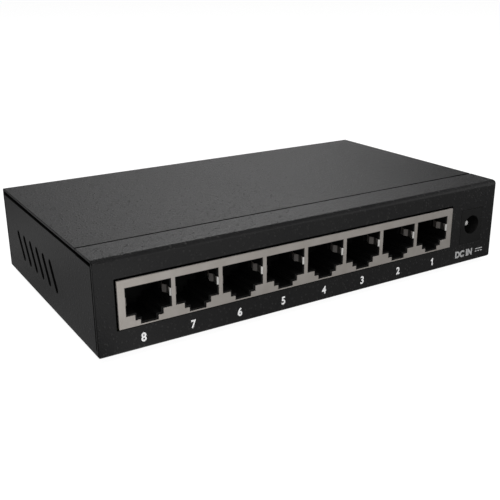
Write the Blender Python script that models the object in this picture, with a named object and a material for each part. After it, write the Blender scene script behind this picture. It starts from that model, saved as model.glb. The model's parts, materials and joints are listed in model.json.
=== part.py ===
"""Eight-port desktop network switch in a folded sheet-steel case.

Frame: origin at the centre of the footprint, on the plane the rubber feet
stand on.  +X runs to the right when the ports are faced, the port panel is at
-Y, the indicator panel at +Y, +Z is up.  All constants are in millimetres and
are turned into metres by mm().
"""
import math

import bmesh
import bpy
from mathutils import Matrix, Vector

# ---------------------------------------------------------------- dimensions
CASE_W = 140.0          # along X
CASE_D = 80.0           # along Y, over the cover's rear lip
CASE_H = 26.5           # case without feet
SHEET = 0.8             # steel gauge
FOOT_H = 1.6            # case underside above the table
R_BOTTOM = 1.0          # outer bend radius, bottom edges
R_TOP = 1.5             # outer bend radius, port panel to top flange
FLANGE_D = 11.2         # depth of the fixed top flange behind the port panel
SEAM = 0.25             # gap between flange and cover
LID_GAP = 0.75          # shadow gap between side walls and cover
CORNER_SLIT = 0.35      # relief slit where the walls meet
LIP_H = 8.0             # height of the cover's rear lip
REAR_WALL_Y = 39.0      # outer face of the indicator panel

PORTS = 8
PORT_PITCH = 13.97      # 0.55 in, ganged modular jacks
PORT8_X = -55.77        # centre of the port farthest left
SHIELD_X = (-64.17, 50.43)
SHIELD_Z = (7.04, 20.14)        # above the case underside
SHIELD_Y = (-40.4, -24.4)
SHIELD_T = 0.3
OPEN_HALF = 6.41        # half width of one shield opening
OPEN_TOP = 18.0
OPEN_FLOOR = 10.15
STEP_HALF = 3.95
STEP_FLOOR = 8.6
LATCH_HALF = 2.5
LATCH_FLOOR = 7.36
CONTACT_PITCH = 1.016
CONTACTS = 8
CONTACT_PIVOT = (-37.85, 18.3)  # y, z above the case underside

DC_X = 59.9
DC_W = 9.0
DC_Z = (6.9, 18.1)
DC_BORE_X = 60.1
DC_BORE_Z = 12.9
DC_BORE_R = 3.15
DC_PIN_R = 1.0
DC_PIVOT = (-28.6, 9.4)

PCB_X = 66.5
PCB_Y = (-38.3, 36.5)
PCB_Z = (5.2, 6.8)
SCREW_POS = [(-62.0, -16.0), (62.0, -16.0), (-62.0, 29.0), (62.0, 29.0)]
FOOT_POS = [("front_left", -58.0, -28.0), ("front_right", 58.0, -28.0),
            ("rear_left", -58.0, 28.0), ("rear_right", 58.0, 28.0)]
LED_Z = 11.3
LED_PITCH = 8.5
LED_FIRST_X = 23.25
LED_POWER_X = 36.25
COVER_SCREW_X = 62.0
COVER_SCREW_Z = 22.5

VENTS = 6
VENT_PITCH = 6.12
VENT_TOP_Y = 25.0
VENT_LEAN = 4.2
VENT_Z = (8.55, 15.25)
VENT_W = 2.0

MAGNETIC_X = (-45.0, -18.0, 9.0, 36.0)


def mm(v):
    return v * 0.001


# --------------------------------------------------------------- clean scene
for old in list(bpy.data.objects):
    bpy.data.objects.remove(old, do_unlink=True)

COLLECTION = bpy.context.scene.collection


# ----------------------------------------------------------------- materials
def material(name, rgb, roughness, metallic=0.0, alpha=1.0):
    mat = bpy.data.materials.new(name)
    mat.use_nodes = True
    bsdf = mat.node_tree.nodes["Principled BSDF"]
    bsdf.inputs["Base Color"].default_value = (rgb[0], rgb[1], rgb[2], 1.0)
    bsdf.inputs["Roughness"].default_value = roughness
    bsdf.inputs["Metallic"].default_value = metallic
    bsdf.inputs["Alpha"].default_value = alpha
    mat.diffuse_color = (rgb[0], rgb[1], rgb[2], alpha)
    return mat


STEEL_BLACK = material("black_powder_coat", (0.030, 0.030, 0.032), 0.55)
NICKEL = material("nickel_plate", (0.52, 0.49, 0.46), 0.35, 1.0)
JACK_PLASTIC = material("black_jack_plastic", (0.012, 0.012, 0.012), 0.45)
GOLD = material("gold_contact", (0.83, 0.61, 0.25), 0.25, 1.0)
TIN = material("tinned_brass", (0.75, 0.73, 0.70), 0.25, 1.0)
BOARD = material("green_board", (0.020, 0.120, 0.050), 0.45)
FILM = material("insulating_film", (0.10, 0.10, 0.11), 0.35)
RUBBER = material("foot_rubber", (0.015, 0.015, 0.015), 0.85)
ZINC = material("zinc_plated_steel", (0.70, 0.70, 0.68), 0.35, 1.0)
BLACK_SCREW = material("black_zinc", (0.035, 0.035, 0.037), 0.40, 0.8)
CHIP = material("moulded_epoxy", (0.020, 0.020, 0.022), 0.60)
ALUMINIUM = material("heatsink_aluminium", (0.60, 0.61, 0.62), 0.40, 1.0)
CAN = material("capacitor_can", (0.62, 0.63, 0.64), 0.30, 1.0)
FERRITE = material("ferrite", (0.055, 0.055, 0.058), 0.70)
LED_GREEN = material("green_led_epoxy", (0.10, 0.45, 0.12), 0.20)
LED_RED = material("red_led_epoxy", (0.60, 0.05, 0.04), 0.20)


# ------------------------------------------------------------- mesh builders
def mesh_object(name, bm, mat=None, at=(0.0, 0.0, 0.0)):
    """Turn a bmesh in metres into a named object standing at a point in mm."""
    bmesh.ops.recalc_face_normals(bm, faces=bm.faces[:])
    me = bpy.data.meshes.new(name)
    bm.to_mesh(me)
    bm.free()
    ob = bpy.data.objects.new(name, me)
    ob.location = [mm(v) for v in at]
    COLLECTION.objects.link(ob)
    if mat:
        me.materials.append(mat)
    return ob


def prism(name, outline, axis, lo, hi, mat=None, at=(0.0, 0.0, 0.0)):
    """Extrude a closed outline along an axis.

    The outline is in (y, z) for axis X, (x, z) for axis Y, (x, y) for axis Z.
    """
    place = {"X": lambda a, b, c: (c, a, b),
             "Y": lambda a, b, c: (a, c, b),
             "Z": lambda a, b, c: (a, b, c)}[axis]
    bm = bmesh.new()
    ring = [bm.verts.new([mm(v) for v in place(a, b, lo)]) for a, b in outline]
    face = bm.faces.new(ring)
    grown = bmesh.ops.extrude_face_region(bm, geom=[face])
    step = {"X": (1, 0, 0), "Y": (0, 1, 0), "Z": (0, 0, 1)}[axis]
    verts = [g for g in grown["geom"] if isinstance(g, bmesh.types.BMVert)]
    bmesh.ops.translate(bm, verts=verts, vec=Vector(step) * mm(hi - lo))
    return mesh_object(name, bm, mat, at)


def block(name, x, y, z, mat=None, at=(0.0, 0.0, 0.0)):
    outline = [(x[0], y[0]), (x[1], y[0]), (x[1], y[1]), (x[0], y[1])]
    return prism(name, outline, "Z", z[0], z[1], mat, at)


def rounded_outline(corners, segments=4):
    """Corners are (a, b, radius), in order; a zero radius stays sharp."""
    out = []
    count = len(corners)
    for i, (a, b, r) in enumerate(corners):
        if r <= 0.0:
            out.append((a, b))
            continue
        p = Vector((a, b))
        before = Vector(corners[i - 1][:2])
        after = Vector(corners[(i + 1) % count][:2])
        u = (before - p).normalized()
        v = (after - p).normalized()
        half = 0.5 * u.angle(v)
        reach = r / math.tan(half)
        centre = p + (u + v).normalized() * (r / math.sin(half))
        start = (p + u * reach) - centre
        stop = (p + v * reach) - centre
        turn = start.angle_signed(stop)
        for k in range(segments + 1):
            s = start.copy()
            s.rotate(Matrix.Rotation(-turn * k / segments, 2))
            out.append((centre.x + s.x, centre.y + s.y))
    return out


def slot_outline(p, q, width, segments=6):
    """Outline of a straight slot with round ends whose centres are p and q."""
    p, q = Vector(p), Vector(q)
    direction = (q - p).normalized()
    base = math.atan2(direction.y, direction.x)
    r = 0.5 * width
    out = []
    for centre, first in ((q, base - math.pi / 2), (p, base + math.pi / 2)):
        for k in range(segments + 1):
            a = first + math.pi * k / segments
            out.append((centre.x + r * math.cos(a), centre.y + r * math.sin(a)))
    return out


def ribbon_outline(path, thickness):
    """Outline of a strip of constant thickness that follows a 2-D path."""
    pts = [Vector(p) for p in path]
    left, right = [], []
    for i, p in enumerate(pts):
        if i == 0:
            n = (pts[1] - p).normalized()
            off = Vector((-n.y, n.x))
            scale = 1.0
        elif i == len(pts) - 1:
            n = (p - pts[i - 1]).normalized()
            off = Vector((-n.y, n.x))
            scale = 1.0
        else:
            a = (p - pts[i - 1]).normalized()
            b = (pts[i + 1] - p).normalized()
            na, nb = Vector((-a.y, a.x)), Vector((-b.y, b.x))
            off = (na + nb).normalized()
            scale = 1.0 / max(0.5, off.dot(na))
        left.append(p + off * (0.5 * thickness * scale))
        right.append(p - off * (0.5 * thickness * scale))
    return [tuple(p) for p in left] + [tuple(p) for p in reversed(right)]


def circle(a, b, r, segments=24, phase=0.0):
    return [(a + r * math.cos(phase + 2 * math.pi * k / segments),
             b + r * math.sin(phase + 2 * math.pi * k / segments))
            for k in range(segments)]


def turned(name, profile, mat=None, segments=24, at=(0.0, 0.0, 0.0), axis="Z"):
    """Closed solid of revolution from (radius, height) pairs, bottom to top."""
    bm = bmesh.new()
    rings = []
    for r, h in profile:
        if r <= 0.0:
            rings.append([bm.verts.new((0.0, 0.0, mm(h)))])
        else:
            rings.append([bm.verts.new((mm(r) * math.cos(2 * math.pi * k / segments),
                                        mm(r) * math.sin(2 * math.pi * k / segments),
                                        mm(h))) for k in range(segments)])
    for low, high in zip(rings, rings[1:]):
        for k in range(segments):
            n = (k + 1) % segments
            if len(low) == 1:
                bm.faces.new((low[0], high[n], high[k]))
            elif len(high) == 1:
                bm.faces.new((low[k], low[n], high[0]))
            else:
                bm.faces.new((low[k], low[n], high[n], high[k]))
    if len(rings[0]) > 1:
        bm.faces.new(list(reversed(rings[0])))
    if len(rings[-1]) > 1:
        bm.faces.new(rings[-1])
    if axis == "Y":
        bmesh.ops.rotate(bm, verts=bm.verts[:], cent=(0, 0, 0),
                         matrix=Matrix.Rotation(-math.pi / 2, 3, "X"))
    elif axis == "X":
        bmesh.ops.rotate(bm, verts=bm.verts[:], cent=(0, 0, 0),
                         matrix=Matrix.Rotation(math.pi / 2, 3, "Y"))
    ob = mesh_object(name, bm, mat, at)
    smooth(ob)
    return ob


def smooth(ob, degrees=35.0):
    ob.data.shade_smooth()
    ob.data.set_sharp_from_angle(angle=math.radians(degrees))


def combine(target, tool, operation="DIFFERENCE"):
    """Boolean one object into another and take the tool away."""
    tool.hide_render = True
    tool.display_type = "WIRE"
    mod = target.modifiers.new("combine", "BOOLEAN")
    mod.operation = operation
    mod.solver = "EXACT"
    mod.object = tool
    graph = bpy.context.evaluated_depsgraph_get()
    shaped = bpy.data.meshes.new_from_object(target.evaluated_get(graph))
    target.modifiers.clear()
    target.data = shaped
    shaped.name = target.name
    bpy.data.objects.remove(tool, do_unlink=True)
    return target


def cut(target, *tools):
    for tool in tools:
        combine(target, tool, "DIFFERENCE")
    return target


def add(target, *tools):
    for tool in tools:
        combine(target, tool, "UNION")
    return target


def up(z):
    """Height above the case underside to height above the table."""
    return z + FOOT_H


def port_x(k):
    """Centre of port k, counted 0..7 from the left."""
    return PORT8_X + PORT_PITCH * k


# ------------------------------------------------------------------ base tray
HALF_W = 0.5 * CASE_W
FRONT_Y = -0.5 * CASE_D
TOP = up(CASE_H)
UNDER = up(0.0)
LID_UNDER = TOP - SHEET
WALL_TOP = LID_UNDER - LID_GAP
FLANGE_Y = FRONT_Y + FLANGE_D


def plane_edges(ob, axis, corners, segments=4):
    """Round edges of a convex block that run along an axis, chord by chord."""
    outline = rounded_outline(corners, segments)
    middle = Vector((sum(p[0] for p in outline), sum(p[1] for p in outline))) / len(outline)
    bm = bmesh.new()
    bm.from_mesh(ob.data)
    for i, p in enumerate(outline):
        q = Vector(outline[(i + 1) % len(outline)])
        p = Vector(p)
        run = q - p
        if min(abs(run.x), abs(run.y)) < 1e-6:
            continue
        n = Vector((run.y, -run.x)).normalized()
        if n.dot(0.5 * (p + q) - middle) < 0.0:
            n = -n
        if axis == "X":
            co, no = Vector((0.0, p.x, p.y)), Vector((0.0, n.x, n.y))
        elif axis == "Y":
            co, no = Vector((p.x, 0.0, p.y)), Vector((n.x, 0.0, n.y))
        else:
            co, no = Vector((p.x, p.y, 0.0)), Vector((n.x, n.y, 0.0))
        bmesh.ops.bisect_plane(bm, geom=bm.verts[:] + bm.edges[:] + bm.faces[:],
                               dist=1e-7, plane_co=co * 0.001, plane_no=no,
                               clear_outer=True)
        rim = [e for e in bm.edges if e.is_boundary]
        if rim:
            bmesh.ops.edgeloop_fill(bm, edges=rim)
    bmesh.ops.recalc_face_normals(bm, faces=bm.faces[:])
    bm.to_mesh(ob.data)
    bm.free()
    return ob


def tray_blank(name, inset, r_bottom, r_top, top_z, mat=None):
    """Convex block whose edges carry the bend radii, mitred at the corners."""
    low, front, rear = UNDER + inset, FRONT_Y + inset, REAR_WALL_Y - inset
    half = HALF_W - inset
    ob = block(name, (-half, half), (front, rear), (low, top_z), mat)
    plane_edges(ob, "X", [(front, low, r_bottom), (rear, low, r_bottom),
                          (rear, top_z, 0.0), (front, top_z, r_top)])
    plane_edges(ob, "Y", [(-half, low, r_bottom), (half, low, r_bottom),
                          (half, top_z, 0.0), (-half, top_z, 0.0)])
    if inset == 0.0:
        plane_edges(ob, "Z", [(-half, front, 0.35), (half, front, 0.35),
                              (half, rear, 0.35), (-half, rear, 0.35)], 2)
    return ob


tray = tray_blank("base_tray", 0.0, R_BOTTOM, R_TOP, TOP, STEEL_BLACK)
cut(tray, tray_blank("cavity", SHEET, R_BOTTOM - SHEET, R_TOP - SHEET, LID_UNDER))
# open the top behind the flange, down to the wall tops
cut(tray, block("top_opening", (-HALF_W - 1, HALF_W + 1), (FLANGE_Y, 41.0),
                (WALL_TOP, TOP + 1)))
for s in (-1, 1):
    xs = sorted((s * (HALF_W - SHEET - 0.15), s * (HALF_W + 1)))
    # shadow gap under the flange and the vertical relief slits at the corners
    cut(tray, block("flange_gap", xs, (FRONT_Y + SHEET, FLANGE_Y + 0.1),
                    (WALL_TOP - 0.15, LID_UNDER)))
    cut(tray, block("slit_front", xs, (FRONT_Y + SHEET, FRONT_Y + SHEET + CORNER_SLIT),
                    (up(2.3), LID_UNDER)))
    cut(tray, block("slit_rear", xs,
                    (REAR_WALL_Y - SHEET - CORNER_SLIT, REAR_WALL_Y - SHEET),
                    (up(2.3), TOP)))
    # slanted ventilation slots
    for k in range(VENTS):
        top_y = VENT_TOP_Y - VENT_PITCH * k
        cut(tray, prism("vent", slot_outline((top_y - VENT_LEAN, up(VENT_Z[0])),
                                             (top_y, up(VENT_Z[1])), VENT_W, 4),
                        "X", *xs))
# window for the ganged jack and for the power jack
cut(tray, block("jack_window", (SHIELD_X[0] - 0.45, SHIELD_X[1] + 0.35),
                (-41.0, -38.5), (up(SHIELD_Z[0] - 0.25), up(SHIELD_Z[1] + 0.5))))
cut(tray, block("power_window", (DC_X - 4.75, DC_X + 4.75),
                (-41.0, -38.5), (up(DC_Z[0] - 0.25), up(DC_Z[1] + 0.25))))
# indicator holes
led_x = [LED_POWER_X] + [LED_FIRST_X - LED_PITCH * k for k in range(PORTS)]
for x in led_x:
    cut(tray, prism("led_hole", circle(x, up(LED_Z), 1.8, 16), "Y", 37.5, 40.0))
# screw slots of the indicator panel
for s in (-1, 1):
    cut(tray, prism("screw_slot", slot_outline(
        (s * COVER_SCREW_X, up(COVER_SCREW_Z)),
        (s * COVER_SCREW_X, TOP + 4.0), 3.5, 6), "Y", 37.5, 40.0))
# keyhole slots for hanging the switch on two wall screws
for x in (-35.0, 35.0):
    cut(tray, prism("key_round", circle(x, -2.0, 3.6, 18), "Z", UNDER - 1, up(2.0)),
        prism("key_slot", slot_outline((x, -2.0), (x, 4.0), 3.6, 6), "Z",
              UNDER - 1, up(2.0)))
# joggled ledges that carry the cover's front edge
for x in (-44.0, 0.0, 44.0):
    ledge = prism("ledge", [
        (FLANGE_Y - 2.4, LID_UNDER + 0.1), (FLANGE_Y - 2.4, LID_UNDER - 0.8),
        (FLANGE_Y + 3.6, LID_UNDER - 0.8), (FLANGE_Y + 3.6, LID_UNDER - 0.12),
        (FLANGE_Y - 0.5, LID_UNDER - 0.12), (FLANGE_Y - 0.7, LID_UNDER + 0.1)],
        "X", x - 8.0, x + 8.0)
    add(tray, ledge)

# ------------------------------------------------------------------ top cover
LIP_Y = 0.5 * CASE_D
cover = prism("top_cover", rounded_outline([
    (FLANGE_Y + SEAM, LID_UNDER, 0.0), (LIP_Y - SHEET, LID_UNDER, 0.2),
    (LIP_Y - SHEET, TOP - LIP_H, 0.0), (LIP_Y, TOP - LIP_H, 0.0),
    (LIP_Y, TOP, 1.0), (FLANGE_Y + SEAM, TOP, 0.0)], 3),
    "X", -HALF_W, HALF_W, STEEL_BLACK)
for s in (-1, 1):
    sink = turned("sink", [(1.75, -2.0), (1.75, -0.75), (3.05, 0.0), (3.05, 1.0)],
                  None, 24, (s * COVER_SCREW_X, LIP_Y, up(COVER_SCREW_Z)), "Y")
    cut(cover, sink)


# --------------------------------------------------------------------- screws
def cross_recess(ob, depth_from, depth_to, axis, at, arm=1.75, width=0.55):
    for a, b in (((-arm, arm), (-width, width)), ((-width, width), (-arm, arm))):
        if axis == "Z":
            tool = block("recess", a, b, (depth_from, depth_to), None, at)
        else:
            tool = block("recess", a, (depth_from, depth_to), b, None, at)
        cut(ob, tool)
    return ob


for side, s in (("left", -1), ("right", 1)):
    at = (s * COVER_SCREW_X, LIP_Y, up(COVER_SCREW_Z))
    screw = turned("cover_screw_" + side, [
        (1.1, -4.9), (1.4, -4.6), (1.4, -0.65), (2.7, 0.12), (2.7, 0.28), (2.45, 0.4)],
        BLACK_SCREW, 18, at, "Y")
    cross_recess(screw, -0.5, 1.0, "Y", at, 1.5, 0.32)

for i, (x, y) in enumerate(SCREW_POS):
    tag = ("front_left", "front_right", "rear_left", "rear_right")[i]
    at = (x, y, up(PCB_Z[1]))
    screw = turned("board_screw_" + tag, [
        (1.1, -5.0), (1.4, -4.7), (1.4, 0.12), (2.7, 0.12), (2.7, 0.9),
        (2.2, 1.5), (1.2, 1.75)], ZINC, 14, at)
    cross_recess(screw, 0.8, 3.0, "Z", at, 1.5, 0.3)
    post = prism("standoff_" + tag, circle(0, 0, 3.0, 6), "Z",
                 0.1, PCB_Z[0] - SHEET - 0.1, ZINC, (x, y, up(SHEET)))
    cut(post, prism("bore", circle(0, 0, 1.75, 12), "Z", -1.0, 6.0, None,
                    (x, y, up(SHEET))))

# ----------------------------------------------------------------------- feet
for tag, x, y in FOOT_POS:
    turned("foot_" + tag, [(4.0, 0.0), (4.5, 0.35), (4.5, 1.2), (4.2, 1.5)],
           RUBBER, 24, (x, y, 0.0))

# ------------------------------------------------------------ film and board
film = block("insulating_sheet", (-64.5, 64.5), (-36.0, 35.5),
             (up(SHEET) + 0.1, up(SHEET) + 0.35), FILM)
board = block("main_board", (-PCB_X, PCB_X), PCB_Y, (up(PCB_Z[0]), up(PCB_Z[1])), BOARD)
for x, y in SCREW_POS:
    cut(film, prism("hole", circle(x, y, 3.5, 12), "Z", 0.0, 6.0))
    cut(board, prism("hole", circle(x, y, 1.8, 14), "Z", 5.0, 10.0))

# --------------------------------------------------------- ganged port housing
S_X0, S_X1 = SHIELD_X
housing = block("port_housing", (S_X0 + SHIELD_T + 0.1, S_X1 - SHIELD_T - 0.1),
                (SHIELD_Y[0] + SHIELD_T + 0.1, SHIELD_Y[1] - SHIELD_T - 0.1),
                (up(PCB_Z[1]) + 0.12, up(SHIELD_Z[1]) - SHIELD_T - 0.1), JACK_PLASTIC)


def port_outline(x, half, top, floor, step_half, step_floor, latch_half, latch_floor):
    return [(x - half, top), (x - half, floor), (x - step_half, floor),
            (x - step_half, step_floor), (x - latch_half, step_floor),
            (x - latch_half, latch_floor), (x + latch_half, latch_floor),
            (x + latch_half, step_floor), (x + step_half, step_floor),
            (x + step_half, floor), (x + half, floor), (x + half, top)]


CAVITY_HALF = 6.05
for k in range(PORTS):
    x = port_x(k)
    cut(housing, prism("plug_cavity", port_outline(
        x, CAVITY_HALF, up(17.7), up(10.55), 3.4, up(9.15), 2.0, up(7.8)),
        "Y", -41.0, -27.6))
    # comb chamber above the plug, behind the front lip
    cut(housing, block("comb_chamber", (x - 4.75, x + 4.75), (-38.7, -28.4),
                       (up(17.0), up(19.3))))
    for s in (-1, 1):
        xs = sorted((x + s * (CAVITY_HALF - 0.5), x + s * (CAVITY_HALF + 0.52)))
        cut(housing, block("spring_slot", xs, (-41.0, -33.2), (up(12.7), up(15.5))))

# ---------------------------------------------------------------- port shield
shield = block("port_shield", SHIELD_X, SHIELD_Y, (up(SHIELD_Z[0]), up(SHIELD_Z[1])), NICKEL)
cut(shield, block("shield_inside", (S_X0 + SHIELD_T, S_X1 - SHIELD_T),
                  (SHIELD_Y[0] + SHIELD_T, SHIELD_Y[1] - SHIELD_T),
                  (up(SHIELD_Z[0]) - 1.0, up(SHIELD_Z[1]) - SHIELD_T)))
# the box stands on the board; only the front plate reaches below its top
cut(shield, block("shield_foot", (S_X0 - 1, S_X1 + 1), (SHIELD_Y[0] + SHIELD_T, -20.0),
                  (up(SHIELD_Z[0]) - 1.0, up(PCB_Z[1]) + 0.5)))
for k in range(PORTS):
    x = port_x(k)
    cut(shield, prism("opening", port_outline(
        x, OPEN_HALF, up(OPEN_TOP), up(OPEN_FLOOR), STEP_HALF, up(STEP_FLOOR),
        LATCH_HALF, up(LATCH_FLOOR)), "Y", -41.0, -39.0))
SPRING_Z = (up(13.0), up(15.2))
for k in range(PORTS):
    x = port_x(k)
    for s in (-1, 1):
        edge = x + s * OPEN_HALF
        path = [(edge + s * 0.12, -40.25), (edge - s * 0.3, -39.9), (edge - s * 0.1, -38.9),
                (edge - s * 0.05, -37.6), (edge - s * 0.75, -36.4), (edge - s * 0.1, -34.4)]
        add(shield, prism("earth_spring", ribbon_outline(path, 0.2), "Z", *SPRING_Z))
shield.data.materials.clear()
shield.data.materials.append(NICKEL)

# ------------------------------------------------- spring contacts of the ports
PIVOT_Y, PIVOT_Z = CONTACT_PIVOT[0], up(CONTACT_PIVOT[1])
for k in range(PORTS):
    x = port_x(k)
    at = (x, PIVOT_Y, PIVOT_Z)
    comb = block("contact_set_%d" % (PORTS - k), (-4.2, 4.2), (-0.5, 0.5), (-0.4, 0.4),
                 GOLD, at)
    for c in range(CONTACTS):
        cx = CONTACT_PITCH * (c - 0.5 * (CONTACTS - 1))
        path = [(0.2, 0.1), (1.2, -0.25), (7.3, -2.85), (8.3, -2.45)]
        add(comb, prism("wire", ribbon_outline(path, 0.3), "X", cx - 0.22, cx + 0.22, None, at))

# ----------------------------------------------------------------- power jack
dc = prism("power_jack_housing", rounded_outline([
    (DC_X - 0.5 * DC_W, up(DC_Z[0]), 0.3), (DC_X + 0.5 * DC_W, up(DC_Z[0]), 0.3),
    (DC_X + 0.5 * DC_W, up(DC_Z[1]), 0.3), (DC_X - 0.5 * DC_W, up(DC_Z[1]), 0.3)], 2),
    "Y", -40.0, -36.6, JACK_PLASTIC)
add(dc, prism("rear_body", rounded_outline([
    (DC_X - 4.3, up(DC_Z[0]), 0.0), (DC_X + 4.3, up(DC_Z[0]), 0.0),
    (DC_X + 4.3, up(17.2), 3.2), (DC_X - 4.3, up(17.2), 3.2)], 5), "Y", -36.8, -25.9))
cut(dc, prism("barrel", circle(DC_BORE_X, up(DC_BORE_Z), DC_BORE_R, 28), "Y", -41.0, -30.0))
cut(dc, prism("pin_bore", circle(DC_BORE_X, up(DC_BORE_Z), DC_PIN_R + 0.25, 16), "Y",
              -31.0, -25.0))
cut(dc, block("leaf_groove", (DC_BORE_X - 1.25, DC_BORE_X + 1.25), (-38.6, -27.2),
              (up(8.3), up(10.6))))
turned("power_jack_pin", [(DC_PIN_R, -5.8), (DC_PIN_R, 5.2), (0.8, 5.65), (0.35, 5.85)],
       TIN, 16, (DC_BORE_X, -32.2, up(DC_BORE_Z)), "Y")
pin = bpy.data.objects["power_jack_pin"]
pin.rotation_euler = (0.0, 0.0, math.pi)
leaf_at = (DC_BORE_X, DC_PIVOT[0], up(DC_PIVOT[1]))
prism("power_jack_spring", ribbon_outline([
    (0.6, 0.0), (-0.6, 0.0), (-3.6, 0.35), (-5.2, 0.95), (-6.2, 1.0), (-7.4, 0.45),
    (-8.0, 0.1)], 0.3), "X", -0.9, 0.9, TIN, leaf_at)

# ---------------------------------------------------------- board components
BOARD_TOP = up(PCB_Z[1])


def packaged(name, x, y, half_x, half_y, stand, body_h, mat, lead_rows, pitch, lead_w,
             reach, foot, chamfer=0.35):
    """Moulded package with gull-wing leads.

    lead_rows lists (side, count); side is one of -X, +X, -Y, +Y.
    """
    at = (x, y, BOARD_TOP)
    z0, z1 = stand, stand + body_h
    zm = 0.5 * (z0 + z1)
    body = prism(name, [(-half_y, zm), (-half_y + chamfer, z0), (half_y - chamfer, z0),
                        (half_y, zm), (half_y - chamfer, z1), (-half_y + chamfer, z1)],
                 "X", -half_x, half_x, mat, at)
    trim = prism("trim", [(-half_x, zm), (-half_x + chamfer, z0), (half_x - chamfer, z0),
                          (half_x, zm), (half_x - chamfer, z1), (-half_x + chamfer, z1)],
                 "Y", -half_y - 1, half_y + 1, None, at)
    combine(body, trim, "INTERSECT")
    for side, count in lead_rows:
        for i in range(count):
            c = pitch * (i - 0.5 * (count - 1))
            edge = half_x if side[1] == "X" else half_y
            s = -1.0 if side[0] == "-" else 1.0
            path = [(s * (edge - 0.5), zm), (s * (edge + reach * 0.5), zm - 0.1),
                    (s * (edge + reach + foot), 0.22)]
            outline = ribbon_outline(path, 0.2)
            if side[1] == "X":
                tool = prism("lead", outline, "Y", c - lead_w / 2, c + lead_w / 2, None, at)
            else:
                tool = prism("lead", outline, "X", c - lead_w / 2, c + lead_w / 2, None, at)
            add(body, tool)
    return body


for i, x in enumerate(MAGNETIC_X):
    packaged("magnetics_%d" % (i + 1), x, -16.0, 12.5, 4.6, 0.4, 5.4, CHIP,
             [("-Y", 8), ("+Y", 8)], 2.9, 0.7, 1.1, 0.5, 0.3)
packaged("switch_chip", -10.0, 8.0, 10.0, 7.0, 0.25, 1.4, CHIP,
         [("-Y", 9), ("+Y", 9), ("-X", 6), ("+X", 6)], 2.0, 0.6, 0.7, 0.4, 0.25)
packaged("memory_chip", -33.0, 8.0, 2.45, 1.95, 0.25, 1.4, CHIP,
         [("-Y", 4), ("+Y", 4)], 1.27, 0.42, 0.7, 0.35, 0.2)
packaged("power_converter_chip", 42.0, -2.0, 2.45, 1.95, 0.25, 1.4, CHIP,
         [("-Y", 4), ("+Y", 4)], 1.27, 0.42, 0.7, 0.35, 0.2)
packaged("input_diode", 56.0, -10.0, 2.2, 1.35, 0.25, 2.0, CHIP,
         [("-X", 1), ("+X", 1)], 1.0, 1.5, 0.4, 0.2, 0.25)

sink_at = (-10.0, 8.0, BOARD_TOP + 1.75)
heatsink = block("heatsink", (-7.0, 7.0), (-7.0, 7.0), (0.0, 6.5), ALUMINIUM, sink_at)
for i in range(5):
    x = -5.6 + 2.8 * i
    cut(heatsink, block("fin_gap", (x - 0.9, x + 0.9), (-8.0, 8.0), (1.5, 7.0), None, sink_at))

crystal = prism("crystal", slot_outline((-3.3, 0.0), (3.3, 0.0), 4.6, 6), "Z", 0.15, 0.75,
                TIN, (14.0, 5.0, BOARD_TOP))
add(crystal, prism("can", slot_outline((-3.3, 0.0), (3.3, 0.0), 4.0, 6), "Z", 0.5, 3.6,
                   None, (14.0, 5.0, BOARD_TOP)))
for name, x, y, r, h in (("input_capacitor", 53.0, 13.0, 4.0, 11.5),
                         ("output_capacitor", 42.0, 15.0, 3.15, 7.5)):
    turned(name, [(r - 0.35, 0.15), (r, 0.5), (r, 1.3), (r - 0.3, 1.7), (r, 2.1),
                  (r, h - 0.5), (r - 0.45, h)], CAN, 18, (x, y, BOARD_TOP))
choke = prism("power_inductor", rounded_outline([
    (-3.9, -3.9, 1.1), (3.9, -3.9, 1.1), (3.9, 3.9, 1.1), (-3.9, 3.9, 1.1)], 3), "Z",
    0.15, 4.2, FERRITE, (54.0, 1.0, BOARD_TOP))

# ----------------------------------------------------------------- indicators
LED_BASE_Y = 33.4
for i, x in enumerate(led_x):
    name = "led_power" if i == 0 else "led_port_%d" % i
    at = (x, LED_BASE_Y, up(LED_Z))
    dome = [(1.5 * math.cos(math.radians(a)), 4.4 + 1.5 * math.sin(math.radians(a)))
            for a in (0, 45)]
    led = turned(name, [(1.9, 0.0), (1.9, 0.9), (1.5, 0.9)] + dome + [(0.0, 5.9)],
                 LED_GREEN if i else LED_RED, 12, at, "Y")
    for dx in (-1.27, 1.27):
        lead = prism("lead", ribbon_outline([(0.4, 0.0), (-1.6, 0.0), (-1.6, -4.35)], 0.45),
                     "X", dx - 0.225, dx + 0.225, None, at)
        add(led, lead)
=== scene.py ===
import json
import math
import random

import bmesh
import bpy
from mathutils import Matrix, Vector


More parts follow.
